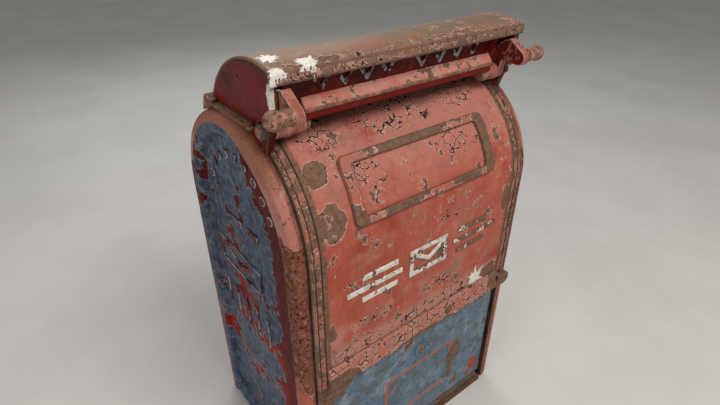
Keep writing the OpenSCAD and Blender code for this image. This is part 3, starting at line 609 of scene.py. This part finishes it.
def side_paint():
    finish = Finish("side_paint_red_and_navy", CORAL, 0.48)
    finish.mottle(CORAL_DEEP, 0.06, 0.42, 0.62, 1.0)
    level = finish.maths("SUBTRACT", finish.z, 0.025)
    wander = finish.maths("MULTIPLY_ADD", finish.grain(0.03, 6.0, 0.62, 8.0), 0.05, level)
    over_top = finish.ease(wander, SPRING_Z + 0.075, SPRING_Z + 0.090)
    shoulder_highlight = finish.both(finish.ease(wander, 0.427, 0.432), finish.ease(wander, 0.482, 0.472))
    rough_zone = finish.both(finish.ease(wander, 0.20, 0.26), finish.ease(wander, 0.432, 0.428))
    finish.lay(rough_zone, paint(158, 94, 78), 0.6)
    cracked = finish.both(finish.ease(wander, 0.470, 0.478), finish.ease(wander, 0.512, 0.500),
                          finish.ease(finish.maths("ABSOLUTE", finish.x), 0.1785, 0.1765))
    finish.lay(cracked, paint(122, 102, 84), 0.75)
    finish.craze(0.009, 0.8, cracked, CRACK_AND_SHADE, paint(150, 118, 100))
    # Smooth pink band on the rim's shoulder: a painted highlight.
    finish.lay(shoulder_highlight, paint(166, 108, 96), 0.32)
    finish.mottle(paint(176, 124, 112), 0.02, 0.55, 0.75, 2.0)
    finish.lay(over_top, paint(150, 96, 76), 0.5)
    finish.lay(finish.both(over_top, finish.ease(finish.grain(0.03, 6.0, 0.6, 9.0), 0.5, 0.66)), TAN, 0.7)
    bare = bare_metal(finish, paint(138, 86, 68), paint(98, 52, 39))
    loss = finish.maths("MULTIPLY_ADD", rough_zone, 0.44, 0.12)
    lost, lip = finish.group(LOST_PAINT, ["Lost", "Lip"], Size=0.008, Loss=loss, Seed=1.0)
    finish.strip(lost, lip, bare, LIP_HIGHLIGHT, 0.0006)
    lumps = finish.maths("MULTIPLY", rough_zone, finish.grain(0.004, 5.0, 0.6, 12.0))
    finish.height = finish.maths("MULTIPLY_ADD", lumps, 0.0026, finish.height)
    pits = finish.ease(finish.grain(0.0035, 6.0, 0.7, 16.0), 0.54, 0.60)
    finish.lay(finish.both(rough_zone, pits), paint(72, 34, 25), 0.85, -0.0004)
    finish.mottle(paint(138, 84, 66), 0.012, 0.56, 0.70, 14.0)
    seam = finish.ease(finish.maths("ABSOLUTE", finish.x), 0.1715, 0.1685)
    outside = finish.ease(inset(finish), 0.004, 0.002)
    patchy = finish.ease(finish.grain(0.02, 5.0, 0.6, 15.0), 0.36, 0.5)
    finish.lay(finish.both(seam, outside, patchy), bare, 0.8)
    navy_field(finish, inset(finish))
    finish.bare_inside(finish.ease(finish.maths("ABSOLUTE", finish.x), FIELD_X - 0.003, FIELD_X - 0.0035))
    # Darker in the sunk corners: dirt and painted shade.
    finish.lay(finish.sunk_dirt_and_shade(0.5, 1.4), paint(70, 22, 16), 0.9)
    finish.skin(0.0006, 0.0003)
    return finish.done()


# %% [markdown]
# ## The raised marks
#
# The marks on the front were picked out in white, and part of that is worn off again. On the sides the
# whole field was painted over in navy, and only the edges of the marks have come back through, pale.

# %% Mark paints
def white_marks():
    finish = Finish("marks_white_worn", paint(214, 210, 200), 0.5)
    finish.mottle(paint(178, 170, 160), 0.01, 0.45, 0.65, 1.0)
    right = finish.ease(finish.x, 0.01, 0.05)
    loss = finish.maths("MULTIPLY_ADD", right, 0.34, 0.26)
    gone, = finish.group(LOST_PAINT, ["Lost"], Size=0.012, Loss=loss, Seed=3.0)
    finish.lay(gone, bare_metal(finish), 0.8, -0.0002)
    # Darker in the sunk corners: dirt and painted shade.
    finish.lay(finish.sunk_dirt_and_shade(0.15, 0.6), CRACK_AND_SHADE, 0.9)
    return finish.skin(0.0003, 0.0002).done()


def side_marks():
    finish = Finish("marks_navy_with_pale_edges", NAVY, 0.5)
    finish.mottle(NAVY_PALE, 0.01, 0.42, 0.6, 1.0)
    lost, = finish.group(LOST_PAINT, ["Lost"], Size=0.016, Loss=0.46, Seed=5.0)
    finish.lay(lost, paint(112, 22, 14), 0.6, -0.0002)
    rubbed = finish.both(finish.worn(0.3, 0.7), finish.ease(finish.grain(0.02, 4.0, 0.6, 6.0), 0.44, 0.56))
    finish.lay(rubbed, paint(168, 172, 168), 0.55)
    return finish.skin(0.0004, 0.0003).done()


def flap_marks():
    finish = Finish("marks_grey_worn", paint(150, 160, 158), 0.5)
    finish.mottle(paint(112, 120, 122), 0.008, 0.45, 0.6, 1.0)
    lost, = finish.group(LOST_PAINT, ["Lost"], Size=0.012, Loss=0.38, Seed=6.0)
    finish.lay(lost, paint(84, 24, 16), 0.6, -0.0002)
    return finish.skin(0.0002, 0.0002).done()


# %% [markdown]
# ## The hood
#
# The hood lies flat to the weather. Its red has gone brown, with olive grime in the middle, the paint is
# cracked along the front lip, and three drops of white paint have burst near the left end. The last of
# them has run down the corner.

# %% Hood paint
def hood_paint():
    finish = Finish("hood_paint_browned", paint(148, 90, 74), 0.55)
    finish.mottle(paint(138, 104, 80), 0.12, 0.32, 0.52, 1.0, (2, 1, 1))
    finish.mottle(paint(116, 98, 76), 0.04, 0.42, 0.60, 2.0, (3, 1, 1))
    strokes = finish.grain(0.002, 3.0, 0.5, 6.0, (26, 1, 1))
    finish.lay(finish.ease(strokes, 0.58, 0.76), paint(160, 108, 88), 0.5, 0.00005)
    near_lip = finish.ease(finish.y, HOOD_LOW.y + 0.022, HOOD_LOW.y + 0.004)
    patchy = finish.ease(finish.grain(0.02, 5.0, 0.6, 4.0, (3, 1, 1)), 0.3, 0.6)
    finish.lay(finish.both(near_lip, patchy), TAUPE, 0.75)
    finish.craze(0.008, 0.7, near_lip, CRACK_AND_SHADE, LIP_HIGHLIGHT)
    finish.craze(0.014, 0.16, 1.0, CRACK_AND_SHADE, LIP_HIGHLIGHT)
    bare = bare_metal(finish)
    ends = finish.ease(finish.maths("ABSOLUTE", finish.x), HOOD_HIGH.x - 0.03, HOOD_HIGH.x)
    loss = finish.maths("MULTIPLY_ADD", finish.most(near_lip, ends), 0.24, 0.10)
    lost, lip = finish.group(LOST_PAINT, ["Lost", "Lip"], Size=0.035, Loss=loss, Seed=8.0)
    finish.strip(lost, lip, bare, LIP_HIGHLIGHT)
    finish.lay(finish.worn(0.2, 0.4), bare, 0.8, -0.0002)
    # Darker in the sunk corners: dirt and painted shade.
    finish.lay(finish.sunk_dirt_and_shade(0.3, 0.8), CRACK_AND_SHADE, 0.9)
    drops = [((-0.155, -0.064, 0.590), 0.0115, 1.0), ((-0.128, -0.084, 0.586), 0.014, 4.0),
             ((-0.162, -0.090, 0.585), 0.0105, 7.0)]
    found = [finish.group(SPLASH, ["Mask"], Centre=c, Size=s, Seed=n)[0] for c, s, n in drops]
    run = finish.group(SPOT, ["Mask"], Centre=(-0.168, HOOD_LOW.y, 0.560), Reach=(0.004, 0.006, 0.028),
                       Fray=1.2)
    finish.lay(finish.most(*found, *run), paint(226, 222, 210), 0.45, 0.0003)
    return finish.skin(0.0004, 0.0001).done()


# %% [markdown]
# ## Deep red, under the hood
#
# The cheeks and the flap face stay out of the sun, so they keep the old deep red with fine upright
# scratches in it; the red is also darkened as painted shade under the hood. The cheeks' front edges are worn
# brown, and a run of white crosses the left one.

# %% Deep red paint
def deep_red():
    # The deep red is partly painted shade under the hood.
    finish = Finish("deep_red_paint", DEEP_RED, 0.42)
    finish.mottle(paint(78, 13, 8), 0.05, 0.42, 0.62, 1.0)
    scratches = finish.grain(0.0012, 3.0, 0.6, 2.0, (1, 1, 14))
    finish.lay(finish.ease(scratches, 0.68, 0.80), paint(140, 56, 42), 0.6, -0.0001)
    lost, lip = finish.group(LOST_PAINT, ["Lost", "Lip"], Size=0.03, Loss=0.16, Seed=2.0)
    bare = bare_metal(finish, UMBER, paint(58, 34, 28))
    finish.strip(lost, lip, bare, paint(130, 60, 46))
    finish.lay(finish.worn(0.35, 0.6), UMBER, 0.75)
    # Darker in the sunk corners: dirt and painted shade.
    finish.lay(finish.sunk_dirt_and_shade(0.3, 0.8), paint(40, 14, 10), 0.9)
    front_edge = finish.both(finish.ease(finish.maths("ABSOLUTE", finish.x), 0.1595, 0.1605),
                             finish.ease(finish.y, HOOD_LOW.y + 0.006, HOOD_LOW.y + 0.004))
    patchy = finish.ease(finish.grain(0.01, 6.0, 0.6, 5.0), 0.36, 0.5)
    finish.lay(finish.both(front_edge, patchy), TAUPE, 0.75)
    run, = finish.group(SPOT, ["Mask"], Centre=(-0.168, HOOD_LOW.y, 0.562), Reach=(0.0036, 0.01, 0.030),
                        Fray=1.2)
    finish.lay(run, paint(206, 200, 188), 0.5)
    return finish.skin(0.0004, 0.0001).done()


# %% [markdown]
# ## Ears, ledge and knobs
#
# The ears are pink outside and dark red on the face that looks inwards: that dark red is painted shade,
# and the lighter pink on their raised edges is a painted highlight. The direction of the surface and its
# place across the box tell the two faces apart. The knobs are handled, so their paint is thin over
# brown metal and polished on the side that the hand meets.

# %% Ear and knob paint
def ear_paint():
    finish = Finish("ear_paint_pink", paint(166, 108, 96), 0.45)
    finish.mottle(paint(148, 84, 70), 0.015, 0.42, 0.6, 1.0)
    facing = add(finish.tree, "ShaderNodeSeparateXYZ",
                 {0: add(finish.tree, "ShaderNodeNewGeometry", out="Normal")})
    inward = finish.maths("MULTIPLY", facing, finish.x)
    # Faces that look inwards get dark red: painted shade.
    finish.lay(finish.ease(inward, -0.12, -0.14), paint(96, 28, 20), 0.5)
    lost, lip = finish.group(LOST_PAINT, ["Lost", "Lip"], Size=0.014, Loss=0.24, Seed=9.0)
    finish.strip(lost, lip, bare_metal(finish), paint(160, 112, 98), 0.0002)
    # Lighter pink on the raised edges: a painted highlight.
    finish.lay(finish.worn(0.4, 0.7), paint(176, 126, 114), 0.5)
    # Darker in the sunk corners: dirt and painted shade.
    finish.lay(finish.sunk_dirt_and_shade(0.25, 0.7), CRACK_AND_SHADE, 0.9)
    return finish.skin(0.0004, 0.0002).done()


def ledge_paint():
    """Pink on the ledge's slope, brown on its lip, and deep red on the skirt below: the flap's red, as
    painted shade under the lip.
    """
    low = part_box("flap_ledge")[0].z
    finish = Finish("ledge_paint_pink_and_red", PINK, 0.5)
    finish.mottle(CORAL, 0.02, 0.42, 0.6, 1.0)
    lost, lip = finish.group(LOST_PAINT, ["Lost", "Lip"], Size=0.02, Loss=0.26, Seed=9.0)
    bare = bare_metal(finish)
    finish.strip(lost, lip, bare, LIP_HIGHLIGHT, 0.0002)
    at_lip = finish.ease(finish.z, low + 0.0125, low + 0.0105)
    patchy = finish.ease(finish.grain(0.01, 6.0, 0.65, 3.0), 0.34, 0.5)
    finish.lay(finish.both(at_lip, patchy), bare, 0.8)
    # Deep red on the skirt below the lip: painted shade under the ledge.
    finish.lay(finish.ease(finish.z, low + 0.0075, low + 0.0068), DEEP_RED, 0.5)
    return finish.skin(0.0003, 0.0002).done()


def knob_paint():
    finish = Finish("knob_paint_thin", paint(150, 104, 88), 0.4)
    finish.mottle(TAUPE, 0.008, 0.36, 0.52, 1.0, rough=0.5)
    finish.mottle(UMBER, 0.003, 0.52, 0.62, 2.0, rough=0.7)
    finish.mottle(paint(170, 118, 102), 0.006, 0.52, 0.62, 4.0)
    finish.mottle(RUST, 0.006, 0.62, 0.72, 3.0, rough=0.8)
    finish.lay(finish.worn(0.5, 0.7), paint(172, 134, 120), 0.4)
    # Darker in the sunk corners: dirt and painted shade.
    finish.lay(finish.sunk_dirt_and_shade(0.25, 0.7), CRACK_AND_SHADE, 0.9)
    return finish.skin(0.0004, 0.0002).done()


# %% [markdown]
# ## The collection door
#
# The door has its own light steel blue. Rain has drawn grime down it. The bead of its moulding is rubbed
# through to the red below, a taupe patch of rust has run from its right end, and the top left corner has
# worn down to the metal.

# %% Door paint
# The moulding's outline on the door: left, right, bottom and top
MOULDING = (-0.054, 0.077, 0.062, 0.148)


def door_paint():
    finish = Finish("door_paint_steel_blue", paint(92, 117, 136), 0.5)
    finish.mottle(paint(126, 142, 152), 0.03, 0.45, 0.65, 1.0)
    finish.mottle(paint(84, 100, 114), 0.014, 0.48, 0.62, 2.0)
    finish.mottle(paint(112, 104, 92), 0.010, 0.50, 0.66, 3.0, (1, 1, 3))
    finish.mottle(paint(88, 84, 78), 0.006, 0.56, 0.66, 7.0, rough=0.75)
    runs = finish.grain(0.003, 4.0, 0.6, 4.0, (1, 1, 16))
    finish.lay(finish.ease(runs, 0.56, 0.7), paint(92, 98, 100), 0.6)
    finish.craze(0.011, 0.2, 1.0, CRACK_AND_SHADE, paint(150, 164, 170))
    specks = finish.ease(finish.grain(0.003, 4.0, 0.6, 5.0), 0.66, 0.72)
    finish.lay(specks, UMBER, 0.8, -0.0001)
    lost, lip = finish.group(LOST_PAINT, ["Lost", "Lip"], Size=0.03, Loss=0.12, Seed=10.0)
    finish.strip(lost, lip, paint(146, 62, 46), paint(150, 104, 96))
    left, right, low, high = MOULDING
    across = finish.maths("ABSOLUTE", finish.maths("SUBTRACT", finish.x, (left + right) / 2))
    up = finish.maths("ABSOLUTE", finish.maths("SUBTRACT", finish.z, (low + high) / 2))
    past = finish.maths("MAXIMUM", finish.maths("SUBTRACT", across, (right - left) / 2),
                        finish.maths("SUBTRACT", up, (high - low) / 2))
    bead = finish.both(finish.ease(past, -0.0062, -0.0052), finish.ease(past, 0.0006, -0.0002))
    rubbed = finish.ease(finish.grain(0.006, 7.0, 0.65, 9.0), 0.34, 0.42)
    finish.lay(finish.both(bead, rubbed), paint(172, 96, 80), 0.6, -0.0002)
    finish.lay(finish.worn(0.45, 0.65), paint(118, 112, 108), 0.6)
    bare = bare_metal(finish, paint(128, 104, 86), paint(88, 66, 54))
    corner = (DOOR_LOW.x + 0.008, DOOR_LOW.y, DOOR_HIGH.z - 0.006)
    rust = [(corner, (0.034, 0.02, 0.034)), ((0.084, DOOR_LOW.y, 0.116), (0.014, 0.02, 0.018)),
            ((0.078, DOOR_LOW.y, 0.090), (0.007, 0.02, 0.026)),
            ((DOOR_LOW.x + 0.004, DOOR_LOW.y, 0.110), (0.010, 0.02, 0.050))]
    finish.strip(*finish.spots(rust), bare, TAUPE)
    red = [((0.138, DOOR_LOW.y, 0.052), (0.010, 0.02, 0.014)),
           ((0.128, DOOR_LOW.y, 0.036), (0.006, 0.02, 0.005))]
    finish.strip(*finish.spots(red), CORAL_DEEP, PINK)
    # Darker in the sunk corners: dirt and painted shade.
    finish.lay(finish.sunk_dirt_and_shade(0.3, 0.8), paint(52, 44, 42), 0.9)
    return finish.skin(0.0005, 0.0001).done()


# %% [markdown]
# ## Plain metals and rubber
#
# The pieces inside and the fixings were never painted with care. Their finishes are simpler, but each
# still has two tones, rust and rubbed edges.

# %% Metals and rubber
def plain_metal(name, colour, second, rough, metallic, rust_from):
    finish = Finish(name, colour, rough)
    finish.mottle(second, 0.02, 0.42, 0.62, 1.0)
    rust = finish.ease(finish.grain(0.012, 7.0, 0.66, 2.0), rust_from, rust_from + 0.07)
    finish.lay(rust, paint(116, 62, 34), 0.9, 0.0001)
    edge, = finish.group(EDGE_WEAR, ["Mask"])
    finish.lay(edge, tuple(min(1.0, c * 1.9) for c in colour[:3]) + (1.0,), rough * 0.8)
    return finish.skin(0.0001, 0.0001).done(metallic)


def base_paint():
    finish = Finish("base_rusty", paint(104, 70, 52), 0.75)
    finish.mottle(UMBER, 0.02, 0.42, 0.6, 1.0)
    finish.mottle(RUST, 0.014, 0.58, 0.7, 2.0)
    edge, = finish.group(EDGE_WEAR, ["Mask"])
    finish.lay(edge, TAUPE, 0.6)
    return finish.skin(0.0003, 0.0003).done()


def rubber():
    finish = Finish("buffer_rubber_black", paint(44, 42, 40), 0.75)
    finish.mottle(paint(62, 58, 54), 0.004, 0.45, 0.65, 1.0)
    return finish.skin(0.0001, 0.0001).done()


finishes = {
    "side_paint": side_paint(),
    "sheet_paint": sheet_paint(),
    "strip_paint": strip_paint(),
    "rail_paint": rail_paint(),
    "frame_paint": frame_paint(),
    "white_marks": white_marks(),
    "hood_paint": hood_paint(),
    "dark_red_paint": deep_red(),
    "flap_marks": flap_marks(),
    "ear_paint": ear_paint(),
    "knob_paint": knob_paint(),
    "door_paint": door_paint(),
    "base_paint": base_paint(),
    "inner_steel": plain_metal("inner_steel_primed", paint(96, 90, 84), paint(78, 72, 68), 0.6, 0.2, 0.56),
    "lock_metal": plain_metal("lock_brass_dull", paint(132, 116, 84), paint(104, 92, 70), 0.45, 0.6, 0.62),
    "bright_steel": plain_metal("steel_dull", paint(92, 80, 70), paint(74, 58, 48), 0.5, 0.3, 0.5),
    "buffer_rubber": rubber(),
}
own_finish = {"side_marks_left": side_marks(), "flap_ledge": ledge_paint()}
own_finish["side_marks_right"] = own_finish["side_marks_left"]
own_finish["lock_ring"] = finishes["door_paint"]
slots = {part["node"]: part["material_slot"] for part in frame["record"]["subparts"]}
for name, node in frame["nodes"].items():
    node.data.materials.clear()
    node.data.materials.append(own_finish.get(name, finishes[slots[name]]))
print(len(finishes), "finishes on", len(frame["nodes"]), "nodes")

# %% [markdown]
# ## Castings with soft edges
#
# A measured solid has knife edges, and iron poured into sand has none. A copy of the part is joined up
# and rebuilt from small cubes of space, which the Remesh modifier does, and smoothed a little. Then the
# skin is pushed in and out by a slow noise. The difference between the lightly and the heavily smoothed
# shape says where an edge stands out and where a corner is sunk. Both are kept as attributes of the
# mesh: the paint wears by the edges, and the sunk corners are darkened with dirt and painted shade.

# %% Shape a casting
def body_of(node):
    bodies = frame["record"]["behaviour"]["bodies"]
    return next(body for body, members in bodies.items() if node in members)


def stand_for(node, piece):
    """Paints a shaped piece, and shows it on the node's body in the node's place."""
    piece.data.materials.append(own_finish.get(node, finishes[slots[node]]))
    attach(piece, body_of(node))
    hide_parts(node)
    print(f"{piece.name}: {len(piece.data.polygons)} faces")


def settle(piece):
    """Applies the piece's modifiers, so that its mesh holds all that is seen."""
    ready = piece.evaluated_get(bpy.context.evaluated_depsgraph_get())
    piece.data = bpy.data.meshes.new_from_object(ready)
    piece.modifiers.clear()


def smooth(mesh, rounds):
    for _ in range(rounds):
        bmesh.ops.smooth_vert(mesh, verts=mesh.verts, factor=0.5,
                              use_axis_x=True, use_axis_y=True, use_axis_z=True)


LUMP_HEIGHT, LUMP_SIZE = 0.0002, 0.011


def casting(node, cell):
    """A soft copy of a CAD node that stands for it; cell is the size of its faces."""
    piece = bpy.data.objects.new(node + "_cast", frame["nodes"][node].data.copy())
    bpy.context.scene.collection.objects.link(piece)
    mesh = bmesh.new()
    mesh.from_mesh(piece.data)
    bmesh.ops.remove_doubles(mesh, verts=mesh.verts, dist=1e-6)
    mesh.to_mesh(piece.data)
    mesh.free()
    remesh = piece.modifiers.new("cells", "REMESH")
    remesh.mode, remesh.voxel_size, remesh.use_smooth_shade = "VOXEL", cell, True
    settle(piece)
    mesh = bmesh.new()
    mesh.from_mesh(piece.data)
    smooth(mesh, 1)
    shape = [v.co.copy() for v in mesh.verts]
    smooth(mesh, 5)
    for v in mesh.verts:
        v.normal_update()
    edge, nook = (mesh.verts.layers.float.new(name) for name in ("edge", "nook"))
    for v, at in zip(mesh.verts, shape):
        stands = (at - v.co).dot(v.normal) / (0.25 * cell)
        v[edge], v[nook] = max(stands, 0.0), max(-stands, 0.0)
        push = noise.noise(at / LUMP_SIZE) + 0.5 * noise.noise(at * 3 / LUMP_SIZE)
        v.co = at + v.normal * push * LUMP_HEIGHT
    mesh.to_mesh(piece.data)
    mesh.free()
    piece.data.materials.clear()
    stand_for(node, piece)
    return piece


# %% [markdown]
# The cell sets both the softness and the weight of the mesh. The big castings take two millimetres,
# the trim about one, and the raised marks less, because their bars are only a few millimetres wide.

# %% The castings
CELLS = {
    "side_left": 0.002, "side_right": 0.002, "front_sheet": 0.0017, "hood_shell": 0.0013,
    "hood_cheek_left": 0.0011, "hood_cheek_right": 0.0011, "hood_base": 0.0015, "drip_rail": 0.001,
    "card_frame": 0.001, "door_panel": 0.0014, "flap_plate": 0.0011, "flap_ledge": 0.0009,
    "edge_strip_left": 0.001, "edge_strip_right": 0.001,
    "ear_left": 0.0009, "ear_right": 0.0009, "knob_left": 0.0007, "knob_right": 0.0007,
    "pivot_bracket_left": 0.0009, "pivot_bracket_right": 0.0009,
    "side_marks_left": 0.0008, "side_marks_right": 0.0008, "front_marks": 0.0007, "flap_marks": 0.0006,
}
pieces = {node: casting(node, cell) for node, cell in CELLS.items()}
print(sum(len(p.data.polygons) for p in pieces.values()) * 2, "triangles in the castings")

# %% [markdown]
# ## Turned pins
#
# The flap hangs on two pins turned on a lathe. The head of each has a pip and two grooves, left by the
# tool and picked out since by dirt. A lathe is what `spin` is: half of the pin's outline is drawn once
# and carried round the axis.

# %% Turn the pins
def turned_pin(node, inward):
    """A pin along X that fills the node's box. inward is the side that its head is on."""
    low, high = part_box(node)
    face, end = (low.x, high.x) if inward < 0 else (high.x, low.x)
    middle, head = (low + high) / 2, (high.z - low.z) / 2
    shank = 0.005
    steps = [(0, 0), (0, 0.30), (0.0008, 0.36), (0.0008, 0.48), (0, 0.54), (0, 0.74), (0.0009, 0.80),
             (0.0009, 0.88), (0.0004, 0.94), (0.0012, 1.0), (0.0045, 1.0), (0.0045, shank / head)]
    outline = [(face - inward * depth, share * head) for depth, share in steps] + [(end, shank), (end, 0)]
    mesh = bmesh.new()
    points = [mesh.verts.new((x, 0, r)) for x, r in outline]
    lines = [mesh.edges.new(pair) for pair in zip(points, points[1:])]
    bmesh.ops.spin(mesh, geom=points + lines, cent=(0, 0, 0), axis=(1, 0, 0), angle=math.tau, steps=40,
                   use_merge=True)
    bmesh.ops.remove_doubles(mesh, verts=mesh.verts, dist=1e-6)
    bmesh.ops.recalc_face_normals(mesh, faces=mesh.faces)
    bmesh.ops.translate(mesh, verts=mesh.verts, vec=(0, middle.y, middle.z))
    piece = bpy.data.objects.new(node + "_turned", bpy.data.meshes.new(node + "_turned"))
    mesh.to_mesh(piece.data)
    mesh.free()
    bpy.context.scene.collection.objects.link(piece)
    stand_for(node, piece)


turned_pin("pivot_pin_left", 1)
turned_pin("pivot_pin_right", -1)

# %% [markdown]
# ## The floor and the light
#
# A plain pale floor and three broad, soft lamps show paint best: a large one over the front for the main
# light, one at the left to skim the side, and a weak one behind. A pale sky fills the rest.

# %% Floor and lights
floor_mesh = bmesh.new()
bmesh.ops.create_grid(floor_mesh, x_segments=1, y_segments=1, size=6.0)
floor = bpy.data.objects.new("floor", bpy.data.meshes.new("floor"))
floor_mesh.to_mesh(floor.data)
floor_mesh.free()
bpy.context.scene.collection.objects.link(floor)
matt = Finish("floor_pale", paint(206, 204, 200), 0.7)
floor.data.materials.append(matt.mottle(paint(200, 198, 194), 0.3, 0.4, 0.6).done())


def lamp(name, place, aim, size, power, colour=(1, 1, 1)):
    light = bpy.data.objects.new(name, bpy.data.lights.new(name, "AREA"))
    light.data.size, light.data.energy, light.data.color = size, power, colour
    light.location = place
    light.rotation_euler = (Vector(aim) - Vector(place)).to_track_quat("-Z", "Y").to_euler()
    bpy.context.scene.collection.objects.link(light)


middle = (0, 0, 0.3)
lamp("over_front", (0.2, -1.3, 2.0), middle, 0.9, 30, (1.0, 0.96, 0.91))
lamp("left", (-1.7, -0.6, 1.0), middle, 1.0, 10, (1.0, 0.98, 0.96))
lamp("behind", (0.6, 1.5, 1.6), middle, 1.2, 14, (0.96, 0.98, 1.0))
world = bpy.data.worlds.new("pale_sky")
world.use_nodes = True
world.node_tree.nodes["Background"].inputs["Color"].default_value = (0.84, 0.84, 0.84, 1)
world.node_tree.nodes["Background"].inputs["Strength"].default_value = 0.30
bpy.context.scene.world = world
bpy.context.scene.view_settings.view_transform = "Standard"
print("three lamps and a pale sky")
